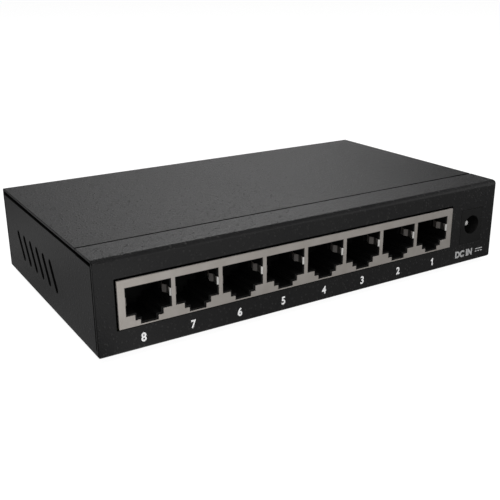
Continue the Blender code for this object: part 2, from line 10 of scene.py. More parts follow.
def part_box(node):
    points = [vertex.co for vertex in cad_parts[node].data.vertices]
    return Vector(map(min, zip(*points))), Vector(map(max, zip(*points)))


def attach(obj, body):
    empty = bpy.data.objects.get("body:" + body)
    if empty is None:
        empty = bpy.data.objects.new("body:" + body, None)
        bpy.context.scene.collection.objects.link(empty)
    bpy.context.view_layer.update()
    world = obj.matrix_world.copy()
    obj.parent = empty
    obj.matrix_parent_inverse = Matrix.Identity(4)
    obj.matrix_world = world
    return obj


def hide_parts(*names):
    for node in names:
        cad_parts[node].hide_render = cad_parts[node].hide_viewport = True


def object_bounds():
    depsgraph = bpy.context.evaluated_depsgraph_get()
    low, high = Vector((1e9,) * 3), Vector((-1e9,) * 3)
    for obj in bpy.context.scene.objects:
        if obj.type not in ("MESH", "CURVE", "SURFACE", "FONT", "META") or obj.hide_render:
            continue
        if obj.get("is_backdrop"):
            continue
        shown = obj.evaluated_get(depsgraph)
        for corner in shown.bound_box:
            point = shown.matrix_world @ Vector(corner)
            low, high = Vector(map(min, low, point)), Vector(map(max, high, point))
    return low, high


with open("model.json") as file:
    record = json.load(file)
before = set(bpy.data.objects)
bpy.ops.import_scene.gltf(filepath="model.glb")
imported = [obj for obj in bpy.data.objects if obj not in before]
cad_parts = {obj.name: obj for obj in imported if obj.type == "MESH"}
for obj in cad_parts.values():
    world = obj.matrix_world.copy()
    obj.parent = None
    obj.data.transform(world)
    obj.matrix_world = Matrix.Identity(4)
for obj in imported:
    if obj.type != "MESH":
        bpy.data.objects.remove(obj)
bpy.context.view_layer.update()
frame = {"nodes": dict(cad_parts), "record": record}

RECORD = frame["record"]
SLOT = {s["node"]: s["material_slot"] for s in RECORD["subparts"]}
BODY = {n: b for b, nodes in RECORD["behaviour"]["bodies"].items() for n in nodes}
COLLECTION = bpy.context.scene.collection


def mmbox(node):
    """Lowest and highest corner of a CAD node in millimetres."""
    lo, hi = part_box(node)
    return [v * 1000 for v in lo], [v * 1000 for v in hi]


# =====================================================================
# materials: everything is driven by object coordinates in millimetres
# =====================================================================
class Mat:
    """A Principled material with small helpers for its node tree."""

    def __init__(self, name):
        self.mat = bpy.data.materials.new(name)
        self.mat.use_nodes = True
        self.nt = self.mat.node_tree
        self.bsdf = self.nt.nodes["Principled BSDF"]
        tc = self.nt.nodes.new("ShaderNodeTexCoord")
        mul = self.nt.nodes.new("ShaderNodeVectorMath")
        mul.operation = "MULTIPLY"
        mul.inputs[1].default_value = (1000.0, 1000.0, 1000.0)
        self.nt.links.new(tc.outputs["Object"], mul.inputs[0])
        self.mm = mul.outputs[0]

    def link(self, a, b):
        self.nt.links.new(a, b)

    def put(self, socket, value):
        if hasattr(value, "links"):
            self.link(value, socket)
        else:
            socket.default_value = value

    def stretch(self, sx, sy, sz):
        n = self.nt.nodes.new("ShaderNodeVectorMath")
        n.operation = "MULTIPLY"
        self.link(self.mm, n.inputs[0])
        n.inputs[1].default_value = (sx, sy, sz)
        return n.outputs[0]

    def noise(self, scale, detail=2.0, rough=0.5, vector=None, distortion=0.0):
        n = self.nt.nodes.new("ShaderNodeTexNoise")
        self.link(vector or self.mm, n.inputs["Vector"])
        n.inputs["Scale"].default_value = scale
        n.inputs["Detail"].default_value = detail
        n.inputs["Roughness"].default_value = rough
        n.inputs["Distortion"].default_value = distortion
        return n.outputs["Fac"]

    def voronoi(self, scale, feature="F1", output="Distance", vector=None):
        n = self.nt.nodes.new("ShaderNodeTexVoronoi")
        n.feature = feature
        self.link(vector or self.mm, n.inputs["Vector"])
        n.inputs["Scale"].default_value = scale
        return n.outputs[output]

    def ramp(self, value, *stops):
        """stops are (position, colour or grey)."""
        n = self.nt.nodes.new("ShaderNodeValToRGB")
        self.link(value, n.inputs["Fac"])
        el = n.color_ramp.elements
        while len(el) < len(stops):
            el.new(0.5)
        for e, (p, c) in zip(el, stops):
            e.position = p
            e.color = (c, c, c, 1.0) if isinstance(c, (int, float)) else (*c, 1.0)
        return n.outputs["Color"]

    def math(self, op, a, b=0.0, clamp=False):
        n = self.nt.nodes.new("ShaderNodeMath")
        n.operation = op
        n.use_clamp = clamp
        self.put(n.inputs[0], a)
        self.put(n.inputs[1], b)
        return n.outputs[0]

    def remap(self, value, lo, hi, to_lo, to_hi):
        n = self.nt.nodes.new("ShaderNodeMapRange")
        self.put(n.inputs["Value"], value)
        n.inputs["From Min"].default_value = lo
        n.inputs["From Max"].default_value = hi
        n.inputs["To Min"].default_value = to_lo
        n.inputs["To Max"].default_value = to_hi
        return n.outputs[0]

    def mix(self, fac, a, b, blend="MIX"):
        n = self.nt.nodes.new("ShaderNodeMix")
        n.data_type = "RGBA"
        n.blend_type = blend
        self.put(n.inputs["Factor"], fac)
        for i, v in ((6, a), (7, b)):
            if hasattr(v, "links"):
                self.link(v, n.inputs[i])
            else:
                n.inputs[i].default_value = (*v, 1.0)
        return n.outputs[2]

    def axis(self, which):
        n = self.nt.nodes.new("ShaderNodeSeparateXYZ")
        self.link(self.mm, n.inputs[0])
        return n.outputs["XYZ".index(which)]

    def normal(self, which):
        g = self.nt.nodes.new("ShaderNodeNewGeometry")
        n = self.nt.nodes.new("ShaderNodeSeparateXYZ")
        self.link(g.outputs["True Normal"], n.inputs[0])
        return n.outputs["XYZ".index(which)]

    def bump(self, height, strength=0.3, distance=0.00003, normal=None):
        n = self.nt.nodes.new("ShaderNodeBump")
        n.inputs["Strength"].default_value = strength
        n.inputs["Distance"].default_value = distance
        self.link(height, n.inputs["Height"])
        if normal is not None:
            self.link(normal, n.inputs["Normal"])
        return n.outputs["Normal"]

    def set(self, **kw):
        names = {"color": "Base Color", "rough": "Roughness", "metal": "Metallic",
                 "spec": "Specular IOR Level", "normal": "Normal", "coat": "Coat Weight",
                 "coat_rough": "Coat Roughness", "trans": "Transmission Weight",
                 "ior": "IOR", "emit": "Emission Color", "emit_s": "Emission Strength",
                 "alpha": "Alpha", "aniso": "Anisotropic"}
        for k, v in kw.items():
            s = self.bsdf.inputs[names[k]]
            if isinstance(v, tuple) and len(v) == 3:
                v = (*v, 1.0)
            self.put(s, v)
        return self.mat


def powder_coat(name, tone=1.0):
    """Fine-texture powder coat: soft orange peel with small raised grains."""
    m = Mat(name)
    peel = m.noise(0.80, 3.0, 0.60)
    grain = m.noise(2.4, 2.0, 0.55)
    cloud = m.noise(0.05, 2.0, 0.5)
    base = m.ramp(grain, (0.30, (0.0042 * tone, 0.0042 * tone, 0.0045 * tone)),
                  (0.72, (0.0085 * tone, 0.0085 * tone, 0.0088 * tone)))
    base = m.mix(m.remap(cloud, 0.35, 0.65, 0.0, 0.30), base,
                 (0.0115 * tone, 0.0110 * tone, 0.0108 * tone))
    # single grains that stand proud (bumped, a little glossier) with a lighter colour painted on them
    # as their highlight
    cells = m.voronoi(1.15)
    gate = m.ramp(m.voronoi(1.15, output="Color"), (0.62, 0.0), (0.68, 1.0))
    dot = m.ramp(cells, (0.14, 1.0), (0.40, 0.0))
    speck = m.math("MULTIPLY", dot, gate)
    base = m.mix(m.math("MULTIPLY", speck, 0.40), base, (0.034, 0.033, 0.032))
    rough = m.math("SUBTRACT", m.remap(grain, 0.2, 0.8, 0.30, 0.42),
                   m.math("MULTIPLY", speck, 0.08))
    height = m.math("ADD", m.math("MULTIPLY", peel, 0.5), m.math("MULTIPLY", grain, 0.4))
    height = m.math("ADD", height, m.math("MULTIPLY", speck, 0.45))
    return m.set(color=base, rough=rough, metal=0.0, spec=0.42,
                 normal=m.bump(height, 0.75, 0.00022))


def nickel(name, tint=(0.59, 0.548, 0.503), rough=(0.30, 0.44)):
    """Satin nickel over stamped brass: warm grey, cloudy, drawn lengthwise."""
    m = Mat(name)
    mottle = m.noise(0.22, 3.0, 0.55)
    fine = m.noise(5.0, 2.0, 0.5)
    drawn = m.noise(1.0, 2.0, 0.5, vector=m.stretch(0.25, 6.0, 6.0))
    dark = tuple(c * 0.93 for c in tint)
    lite = (min(1.0, tint[0] * 1.04), min(1.0, tint[1] * 1.05), min(1.0, tint[2] * 1.07))
    base = m.ramp(mottle, (0.30, dark), (0.70, lite))
    r = m.remap(m.math("ADD", m.math("MULTIPLY", drawn, 0.6), m.math("MULTIPLY", fine, 0.4)),
                0.3, 0.7, rough[0], rough[1])
    return m.set(color=base, rough=r, metal=0.72, spec=0.5, normal=m.bump(fine, 0.10, 0.00002))


def moulded(name, c0=0.006, c1=0.012, rough=(0.34, 0.52), scale=3.5, strength=0.25, spec=0.45):
    m = Mat(name)
    n = m.noise(scale, 3.0, 0.55)
    big = m.noise(0.2, 2.0, 0.5)
    base = m.ramp(n, (0.3, c0), (0.7, c1))
    return m.set(color=base, rough=m.remap(big, 0.3, 0.7, rough[0], rough[1]), spec=spec,
                 normal=m.bump(n, strength, 0.00002))


def metal(name, tint, rough=(0.18, 0.32), scale=4.0, weight=1.0):
    m = Mat(name)
    n = m.noise(scale, 3.0, 0.55)
    dark = tuple(c * 0.85 for c in tint)
    return m.set(color=m.ramp(n, (0.25, dark), (0.7, tint)), metal=weight,
                 rough=m.remap(n, 0.3, 0.7, rough[0], rough[1]),
                 normal=m.bump(n, 0.08, 0.00002))


def brushed(name, tint, along="X", rough=(0.25, 0.42)):
    m = Mat(name)
    k = {"X": (0.15, 9.0, 9.0), "Y": (9.0, 0.15, 9.0), "Z": (9.0, 9.0, 0.15)}[along]
    n = m.noise(1.0, 2.0, 0.5, vector=m.stretch(*k))
    dark = tuple(c * 0.88 for c in tint)
    return m.set(color=m.ramp(n, (0.3, dark), (0.7, tint)), metal=1.0,
                 rough=m.remap(n, 0.3, 0.7, rough[0], rough[1]),
                 normal=m.bump(n, 0.10, 0.00002))


def board_material():
    m = Mat("solder_mask_green")
    weave = m.noise(1.0, 1.0, 0.5, vector=m.stretch(2.2, 0.25, 1.0))
    weft = m.noise(1.0, 1.0, 0.5, vector=m.stretch(0.25, 2.2, 1.0))
    cloth = m.math("ADD", m.math("MULTIPLY", weave, 0.5), m.math("MULTIPLY", weft, 0.5))
    big = m.noise(0.06, 2.0, 0.5)
    base = m.ramp(cloth, (0.38, (0.006, 0.070, 0.026)), (0.62, (0.010, 0.110, 0.042)))
    base = m.mix(m.remap(big, 0.4, 0.6, 0.0, 0.25), base, (0.016, 0.085, 0.030))
    # the cut edge shows the bare glass-fibre laminate
    edge = m.math("LESS_THAN", m.math("ABSOLUTE", m.normal("Z")), 0.5)
    base = m.mix(edge, base, (0.060, 0.056, 0.026))
    return m.set(color=base, rough=m.remap(cloth, 0.3, 0.7, 0.26, 0.38), spec=0.5,
                 normal=m.bump(cloth, 0.15, 0.00003))


def film_material():
    m = Mat("polyester_film")
    n = m.noise(0.12, 3.0, 0.5)
    return m.set(color=m.ramp(n, (0.3, 0.010), (0.7, 0.022)), spec=0.6,
                 rough=m.remap(n, 0.3, 0.7, 0.14, 0.30), normal=m.bump(n, 0.4, 0.0002))


def rubber_material():
    m = Mat("foot_rubber_pebbled")
    n = m.voronoi(2.2)
    return m.set(color=m.ramp(n, (0.0, 0.013), (0.8, 0.024)), rough=0.86, spec=0.3,
                 normal=m.bump(n, 0.4, 0.00006))


def ink_material(name="screen_print_white", tone=0.84):
    m = Mat(name)
    n = m.noise(3.2, 3.0, 0.6)
    return m.set(color=m.ramp(n, (0.25, 0.80 * tone), (0.6, tone)), rough=0.55, spec=0.3,
                 normal=m.bump(n, 0.15, 0.00002))


def track_material():
    """Copper under the solder mask: the same green, a little lighter."""
    m = Mat("masked_copper_track")
    n = m.noise(0.8, 2.0, 0.5)
    return m.set(color=m.ramp(n, (0.3, (0.020, 0.160, 0.060)), (0.7, (0.030, 0.200, 0.075))),
                 rough=m.remap(n, 0.3, 0.7, 0.26, 0.38), normal=m.bump(n, 0.1, 0.00002))


def epoxy_lens(name, deep, lite):
    m = Mat(name)
    n = m.noise(0.9, 2.0, 0.5)
    return m.set(color=m.ramp(n, (0.3, deep), (0.7, lite)), rough=m.remap(n, 0.3, 0.7, 0.08, 0.2),
                 spec=0.6, coat=0.6, coat_rough=0.06, normal=m.bump(n, 0.05, 0.00003))


def copper_material():
    m = Mat("enamelled_copper")
    n = m.noise(1.0, 2.0, 0.5, vector=m.stretch(2.0, 2.0, 7.0))
    return m.set(color=m.ramp(n, (0.3, (0.30, 0.10, 0.04)), (0.7, (0.56, 0.22, 0.09))),
                 metal=1.0, rough=0.34, normal=m.bump(n, 0.3, 0.00005))


COAT = powder_coat("black_powder_coat_fine")
# a lighter copy of the same powder coat: painted sheen for the flange top where it catches the light
COAT_FLANGE_PAINTED_SHEEN = powder_coat("black_powder_coat_flange_painted_sheen", 1.45)
# near-black copy of the powder coat: painted shade for slots, gaps, seams and recesses
COAT_PAINTED_SHADE = moulded("powder_coat_painted_shade", 0.0010, 0.0018, (0.6, 0.7), 3.0, 0.1, spec=0.06)
NICKEL = nickel("nickel_plate_satin")
# darker and lighter copies of the nickel for the springs: painted shade in the middle, painted half
# shade on the tongue, painted highlight on the root
NICKEL_PAINTED_SHADE = nickel("nickel_plate_painted_shade", (0.085, 0.080, 0.074), (0.40, 0.52))
NICKEL_PAINTED_HALF_SHADE = nickel("nickel_plate_painted_half_shade", (0.27, 0.25, 0.235), (0.34, 0.46))
NICKEL_PAINTED_HIGHLIGHT = nickel("nickel_plate_painted_highlight", (0.93, 0.91, 0.87), (0.26, 0.36))
JACK = moulded("jack_thermoplastic_black", 0.0018, 0.0036, (0.42, 0.60), spec=0.28)
JACK_FACE = moulded("power_jack_thermoplastic", 0.0035, 0.0060, (0.36, 0.50), spec=0.42)
GOLD = metal("gold_flash", (0.86, 0.60, 0.22), (0.16, 0.30))
TIN = metal("bright_tin", (0.72, 0.71, 0.68), (0.20, 0.36))
ZINC = brushed("zinc_plate", (0.62, 0.63, 0.62), "X", (0.22, 0.38))
BLACK_ZINC = metal("black_zinc_plate", (0.055, 0.055, 0.058), (0.30, 0.46))
BOARD = board_material()
FILM = film_material()
RUBBER = rubber_material()
INK = ink_material(tone=0.97)
EPOXY = moulded("chip_epoxy", 0.010, 0.020, (0.50, 0.66), 5.0, 0.30)
ALU = brushed("extruded_aluminium", (0.58, 0.59, 0.60), "Y", (0.26, 0.42))
CAN = brushed("drawn_can", (0.66, 0.67, 0.68), "Z", (0.18, 0.32))
FERRITE = moulded("sintered_ferrite", 0.018, 0.036, (0.55, 0.75), 6.0, 0.5)
GREEN_LENS = epoxy_lens("green_lens", (0.035, 0.20, 0.040), (0.07, 0.33, 0.075))
RED_LENS = epoxy_lens("red_lens", (0.30, 0.018, 0.012), (0.46, 0.035, 0.022))
COPPER = copper_material()
# near-white, half-diffuse tin: painted glint for the round tip of the jack pin
TIN_PAINTED_GLINT = metal("tin_painted_glint", (0.95, 0.94, 0.92), (0.22, 0.32), weight=0.35)
RESISTOR = moulded("resistor_glaze", 0.010, 0.020, (0.18, 0.30), 6.0, 0.1)
BLACK_PRINT = moulded("black_print", 0.010, 0.018, (0.4, 0.5), 6.0, 0.1)
DOT = moulded("pin_one_mark", 0.035, 0.055, (0.25, 0.35), 6.0, 0.1)
TRACK = track_material()
INK_GREY = ink_material("screen_print_grey", 0.46)
CERAMIC = moulded("ceramic_tan", 0.16, 0.30, (0.4, 0.6), 6.0, 0.2)

BY_SLOT = {
    "black_powder_coat": COAT, "black_screw_steel": BLACK_ZINC, "insulating_film": FILM,
    "green_board": BOARD, "jack_plastic": JACK, "nickel_plate": NICKEL,
    "gold_contact": GOLD, "tinned_brass": TIN, "moulded_epoxy": EPOXY,
    "heatsink_aluminium": ALU, "capacitor_can": CAN, "ferrite": FERRITE,
    "led_green": GREEN_LENS, "led_red": RED_LENS, "foot_rubber": RUBBER,
    "zinc_steel": ZINC}


# =====================================================================
# modelling helpers (millimetres in, metres out)
# =====================================================================
def from_bmesh(name, bm, *mats):
    me = bpy.data.meshes.new(name)
    bm.to_mesh(me)
    bm.free()
    ob = bpy.data.objects.new(name, me)
    COLLECTION.objects.link(ob)
    for m in mats:
        me.materials.append(m)
    return ob


def bake_modifiers(ob):
    graph = bpy.context.evaluated_depsgraph_get()
    me = bpy.data.meshes.new_from_object(ob.evaluated_get(graph))
    ob.modifiers.clear()
    ob.data = me
    return ob


def prism(name, outline, axis, lo, hi, at=(0, 0, 0), mat=None):
    place = {"X": lambda a, b, c: (c, a, b), "Y": lambda a, b, c: (a, c, b),
             "Z": lambda a, b, c: (a, b, c)}[axis]
    off = Vector(at)
    bm = bmesh.new()
    ring = [bm.verts.new((Vector(place(a, b, lo)) + off) * 0.001) for a, b in outline]
    face = bm.faces.new(ring)
    grown = bmesh.ops.extrude_face_region(bm, geom=[face])
    step = Vector({"X": (1, 0, 0), "Y": (0, 1, 0), "Z": (0, 0, 1)}[axis]) * (hi - lo) * 0.001
    bmesh.ops.translate(bm, verts=[g for g in grown["geom"] if isinstance(g, bmesh.types.BMVert)],
                        vec=step)
    bmesh.ops.recalc_face_normals(bm, faces=bm.faces[:])
    return from_bmesh(name, bm, *([mat] if mat else []))


def block(name, x, y, z, at=(0, 0, 0), mat=None):
    return prism(name, [(x[0], y[0]), (x[1], y[0]), (x[1], y[1]), (x[0], y[1])], "Z",
                 z[0], z[1], at, mat)


def rounded(corners, segments=6):
    out = []
    for i, (a, b, r) in enumerate(corners):
        if r <= 0:
            out.append((a, b))
            continue
        p = Vector((a, b))
        u = (Vector(corners[i - 1][:2]) - p).normalized()
        v = (Vector(corners[(i + 1) % len(corners)][:2]) - p).normalized()
        half = 0.5 * u.angle(v)
        centre = p + (u + v).normalized() * (r / math.sin(half))
        start = p + u * (r / math.tan(half)) - centre
        stop = p + v * (r / math.tan(half)) - centre
        turn = start.angle_signed(stop)
        for k in range(segments + 1):
            s = start.copy()
            s.rotate(Matrix.Rotation(-turn * k / segments, 2))
            out.append((centre.x + s.x, centre.y + s.y))
    return out


def slot_outline(p, q, width, segments=8):
    p, q = Vector(p), Vector(q)
    d = (q - p).normalized()
    base = math.atan2(d.y, d.x)
    out = []
    for c, first in ((q, base - math.pi / 2), (p, base + math.pi / 2)):
        for k in range(segments + 1):
            a = first + math.pi * k / segments
            out.append((c.x + 0.5 * width * math.cos(a), c.y + 0.5 * width * math.sin(a)))
    return out


def circle(a, b, r, segments=32):
    return [(a + r * math.cos(2 * math.pi * k / segments),
             b + r * math.sin(2 * math.pi * k / segments)) for k in range(segments)]


def smooth_path(points, radius, segments=5):
    """Round the inner corners of an open 2-D path."""
    out = [points[0]]
    for i in range(1, len(points) - 1):
        p = Vector(points[i])
        u, v = Vector(points[i - 1]) - p, Vector(points[i + 1]) - p
        reach = min(radius, 0.45 * u.length, 0.45 * v.length)
        a, b = p + u.normalized() * reach, p + v.normalized() * reach
        for k in range(segments + 1):
            t = k / segments
            out.append(tuple(a * (1 - t) ** 2 + p * 2 * t * (1 - t) + b * t * t))
    out.append(points[-1])
    return out


def ribbon(path, thickness):
    pts = [Vector(p) for p in path]
    left, right = [], []
    for i, p in enumerate(pts):
        a = (p - pts[i - 1]).normalized() if i else (pts[1] - p).normalized()
        b = (pts[i + 1] - p).normalized() if i < len(pts) - 1 else a
        na, nb = Vector((-a.y, a.x)), Vector((-b.y, b.x))
        off = (na + nb).normalized()
        k = 0.5 * thickness / max(0.5, off.dot(na))
        left.append(p + off * k)
        right.append(p - off * k)
    return [tuple(p) for p in left] + [tuple(p) for p in reversed(right)]


def turned(name, profile, at, axis="Z", segments=48, mat=None, flip=False):
    bm = bmesh.new()
    rings = []
    for r, h in profile:
        if r <= 0:
            rings.append([bm.verts.new((0, 0, h * 0.001))])
        else:
            rings.append([bm.verts.new((r * 0.001 * math.cos(2 * math.pi * k / segments),
                                        r * 0.001 * math.sin(2 * math.pi * k / segments),
                                        h * 0.001)) for k in range(segments)])
    for low, high in zip(rings, rings[1:]):
        for k in range(segments):
            n = (k + 1) % segments
            if len(low) == 1:
                bm.faces.new((low[0], high[n], high[k]))
            elif len(high) == 1:
                bm.faces.new((low[k], low[n], high[0]))
            else:
                bm.faces.new((low[k], low[n], high[n], high[k]))
    if len(rings[0]) > 1:
        bm.faces.new(list(reversed(rings[0])))
    if len(rings[-1]) > 1:
        bm.faces.new(rings[-1])
    if axis == "Y":
        bmesh.ops.rotate(bm, verts=bm.verts[:], cent=(0, 0, 0),
                         matrix=Matrix.Rotation(math.pi / 2 if flip else -math.pi / 2, 3, "X"))
    bmesh.ops.translate(bm, verts=bm.verts[:], vec=Vector(at) * 0.001)
    bmesh.ops.recalc_face_normals(bm, faces=bm.faces[:])
    return from_bmesh(name, bm, *([mat] if mat else []))


def combine(target, tool, op="DIFFERENCE"):
    mod = target.modifiers.new("b", "BOOLEAN")
    mod.operation, mod.solver, mod.object = op, "EXACT", tool
    bake_modifiers(target)
    bpy.data.objects.remove(tool, do_unlink=True)
    return target


def joined(name, parts):
    """Several mesh objects become one piece; materials are kept."""
    bm = bmesh.new()
    mats = []
    for p in parts:
        index = []
        for m in p.data.materials:
            if m not in mats:
                mats.append(m)
            index.append(mats.index(m))
        start = len(bm.faces)
        bm.from_mesh(p.data)
        bm.faces.ensure_lookup_table()
        for f in bm.faces[start:]:
            f.material_index = index[f.material_index] if index else 0
        bpy.data.objects.remove(p, do_unlink=True)
    return from_bmesh(name, bm, *mats)


def polish(ob, width=0.12, segments=2, angle=32.0):
    """Break the sharp edges and give flat faces clean normals.

    The work is done at 1000 times the size, where the tolerances of the
    mesh tools are small against the sheet thickness.
    """
    bm = bmesh.new()
    bm.from_mesh(ob.data)
    bmesh.ops.scale(bm, verts=bm.verts[:], vec=(1000.0, 1000.0, 1000.0))
    bmesh.ops.remove_doubles(bm, verts=bm.verts[:], dist=0.0008)
    bmesh.ops.dissolve_degenerate(bm, edges=bm.edges[:], dist=0.0005)
    # turn the triangles of flat areas so that none is a long sliver
    inner = [e for e in bm.edges if len(e.link_faces) == 2
             and e.calc_face_angle(0.0) < math.radians(0.3)]
    bmesh.ops.beautify_fill(bm, faces=bm.faces[:], edges=inner, method="ANGLE")
    for f in bm.faces:
        f.smooth = True
    bm.to_mesh(ob.data)
    bm.free()
    if ob.data.attributes.get("custom_normal"):
        ob.data.attributes.remove(ob.data.attributes["custom_normal"])
    if width > 0:
        b = ob.modifiers.new("bevel", "BEVEL")
        b.width = width
        b.segments = segments
        b.limit_method = "ANGLE"
        b.angle_limit = math.radians(angle)
        b.use_clamp_overlap = False
        b.loop_slide = False
        b.miter_outer = "MITER_ARC"
    w = ob.modifiers.new("normals", "WEIGHTED_NORMAL")
    w.mode = "FACE_AREA"
    w.weight = 80
    w.keep_sharp = False
    bake_modifiers(ob)
    ob.data.transform(Matrix.Scale(0.001, 4))
    return ob


def refine(node, width=0.12, segments=2, mat=None, angle=32.0):
    """A finished copy of a CAD node: welded, edges broken, own material."""
    src = frame["nodes"][node]
    me = src.data.copy()
    ob = bpy.data.objects.new(node + "_finished", me)
    COLLECTION.objects.link(ob)
    me.materials.clear()
    me.materials.append(mat or BY_SLOT[SLOT[node]])
    for p in me.polygons:
        p.material_index = 0
    polish(ob, width, segments, angle)
    return adopt(ob, node)


def paint(ob, mat, test):
    """Give the faces that pass a test (centre in mm, normal) another material."""
    ob.data.materials.append(mat)
    index = len(ob.data.materials) - 1
    for p in ob.data.polygons:
        if test(p.center * 1000.0, p.normal):
            p.material_index = index
    return ob


def adopt(ob, node, replaces=True):
    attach(ob, BODY[node])
    if replaces:
        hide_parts(node)
    return ob


def shade(ob, degrees=38.0):
    ob.data.shade_smooth()
    ob.data.set_sharp_from_angle(angle=math.radians(degrees))
    return ob


# =====================================================================
# case
# =====================================================================
tray = refine("base_tray", 0.13, 2)


def tray_recess(c, n):
    """Painted shade on the cut edges where shade falls: slots, window rims, seams."""
    side = abs(c.x) > 69.05
    if side and 8.0 < c.z < 19.0 and -14.0 < c.y < 29.0:
        return abs(n.x) < 0.93
    if side and c.z > 26.3 and c.y > -28.7:
        return n.z > 0.3
    if side and 26.3 < c.z < 27.5 and c.y < -28.6:
        return abs(n.x) < 0.93
    if side and -39.4 < c.y < -38.6:
        return abs(n.x) < 0.93
    if side and c.y > 38.0:
        return abs(n.x) < 0.93 and abs(n.y) < 0.93
    if c.y < -39.15 and -65.3 < c.x < 51.6 and 7.5 < c.z < 24.5:
        return abs(n.y) < 0.93
    if c.z > 27.25 and c.y > -29.0:
        return n.y > 0.3
    return False


# painted shade on the cover's edge bevels and on the edges of its underside
def cover_edge(c, n):
    if abs(c.x) > 69.7:
        return n.z < -0.3 or (n.z > 0.3 and abs(n.x) > 0.45)
    return c.y < -28.2 and n.y < -0.3


# painted shade on the tray's cut edges and seams
paint(tray, COAT_PAINTED_SHADE, tray_recess)
# painted sheen: the flange top gets the lighter copy of the coat
paint(tray, COAT_FLANGE_PAINTED_SHEEN, lambda c, n: c.z > 27.9 and n.z > 0.9 and c.y < -29.0)

# the sheared front edge of the cover is broken a little more than the rest
lid = bpy.data.objects.new("lid_work", frame["nodes"]["top_cover"].data.copy())
COLLECTION.objects.link(lid)
LID_LO, LID_HI = mmbox("top_cover")
y0, z1 = LID_LO[1], LID_HI[2]
combine(lid, prism("break", [(y0 - 1.0, z1 - 1.30), (y0 + 1.30, z1 + 1.0), (y0 - 1.0, z1 + 1.0)],
                   "X", -71.0, 71.0))
for v in lid.data.vertices:
    if v.co.y > 0.0390 and abs(v.co.x) > 0.0690:
        v.co.x -= math.copysign(0.00030, v.co.x)
lid.data.materials.clear()
lid.data.materials.append(COAT)
for p in lid.data.polygons:
    p.material_index = 0
lid.name = "top_cover_finished"
polish(lid, 0.14, 3)
paint(lid, COAT_PAINTED_SHADE, cover_edge)
adopt(lid, "top_cover")
# narrow lips under the cover, in the painted-shade black, close the gap over the side walls to light
# so that it reads as shadow
lid_under = LID_HI[2] - 0.8
lips = [block("lip", sorted((s * 68.25, s * 68.85)), (-27.6, 38.0),
              (lid_under - 1.15, lid_under + 0.02), mat=COAT_PAINTED_SHADE) for s in (-1, 1)]
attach(joined("cover_side_shade_lips", lips), BODY["top_cover"])
for n in ("cover_screw_left", "cover_screw_right"):
    refine(n, 0.07, 2)
for n in ("front_left", "front_right", "rear_left", "rear_right"):
    refine("board_screw_" + n, 0.07, 2)
    refine("standoff_" + n, 0.12, 2)
    lo, hi = mmbox("foot_" + n)
    cx, cy = 0.5 * (lo[0] + hi[0]), 0.5 * (lo[1] + hi[1])
    r, h = 0.5 * (hi[0] - lo[0]), hi[2] - lo[2]
    foot = turned("foot_%s_moulded" % n, [
        (r - 1.6, 0.25), (r - 1.45, 0.04), (r - 1.3, 0.0), (r - 0.5, 0.0), (r - 0.22, 0.05),
        (r - 0.06, 0.18), (r, 0.4), (r, h - 0.35), (r - 0.1, h - 0.12), (r - 0.3, h)],
        (cx, cy, lo[2]), mat=RUBBER)
    adopt(shade(foot), "foot_" + n)

# =====================================================================
# ganged port and power jack
# =====================================================================
shield = refine("port_shield", 0.05, 2)
PORT_X = [-55.77 + 13.97 * k for k in range(8)]
SH_LO, SH_HI = mmbox("port_shield")


def spring_part(depth_from, depth_to):
    """Faces of the earthing springs between two depths behind the plate."""
    def test(c, n):
        return 14.4 < c.z < 17.0 and depth_from < c.y < depth_to and -63.2 < c.x < 49.2
    return test


def spring_root(c, n):
    """Rolled edge where a spring leaves the plate, right side of an opening; it gets the painted
    highlight.
    """
    return (14.5 < c.z < 16.9 and -40.30 < c.y < -39.45 and n.x < -0.25 and n.y < -0.3
            and abs(n.z) < 0.5)


# springs: painted shade in the middle, painted half shade on the tongue, painted highlight on the
# rolled root
paint(shield, NICKEL_PAINTED_SHADE, spring_part(-39.3, -37.5))
paint(shield, NICKEL_PAINTED_HALF_SHADE, spring_part(-37.5, -33.0))
paint(shield, NICKEL_PAINTED_HIGHLIGHT, spring_root)
# black strips in the slit between shield and panel: painted shadow, the slit being always in its own
# shade
slit = [block("over", (SH_LO[0] - 0.02, SH_HI[0] + 0.02), (-39.93, -38.5),
              (SH_HI[2] - 0.01, SH_HI[2] + 0.03), mat=COAT_PAINTED_SHADE),
        block("left", (SH_LO[0] - 0.03, SH_LO[0] + 0.01), (-39.93, -38.5),
              (SH_LO[2] + 0.2, SH_HI[2]), mat=COAT_PAINTED_SHADE),
        block("right", (SH_HI[0] - 0.01, SH_HI[0] + 0.03), (-39.93, -38.5),
              (SH_LO[2] + 0.2, SH_HI[2]), mat=COAT_PAINTED_SHADE)]
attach(joined("shield_slit_painted_shade", slit), BODY["port_shield"])
refine("port_housing", 0.08, 1)
jack = bpy.data.objects.new("jack_work", frame["nodes"]["power_jack_housing"].data.copy())
COLLECTION.objects.link(jack)
lo, hi = mmbox("power_jack_housing")
# flange of the jack face fills its window to a hair line
for v in jack.data.vertices:
    x, y, z = v.co * 1000
    if y < -36.5:
        if x < lo[0] + 0.6:
            v.co.x -= 0.00018
        elif x > hi[0] - 0.6:
            v.co.x += 0.00018
        if z < lo[2] + 0.6:
            v.co.z -= 0.00018
        elif z > hi[2] - 0.6:
            v.co.z += 0.00018
jack.data.materials.clear()
jack.data.materials.append(JACK_FACE)
for p in jack.data.polygons:
    p.material_index = 0
jack.name = "power_jack_housing_finished"
polish(jack, 0.07, 2)
adopt(jack, "power_jack_housing")
refine("power_jack_spring", 0.05, 2)

lo, hi = mmbox("power_jack_pin")
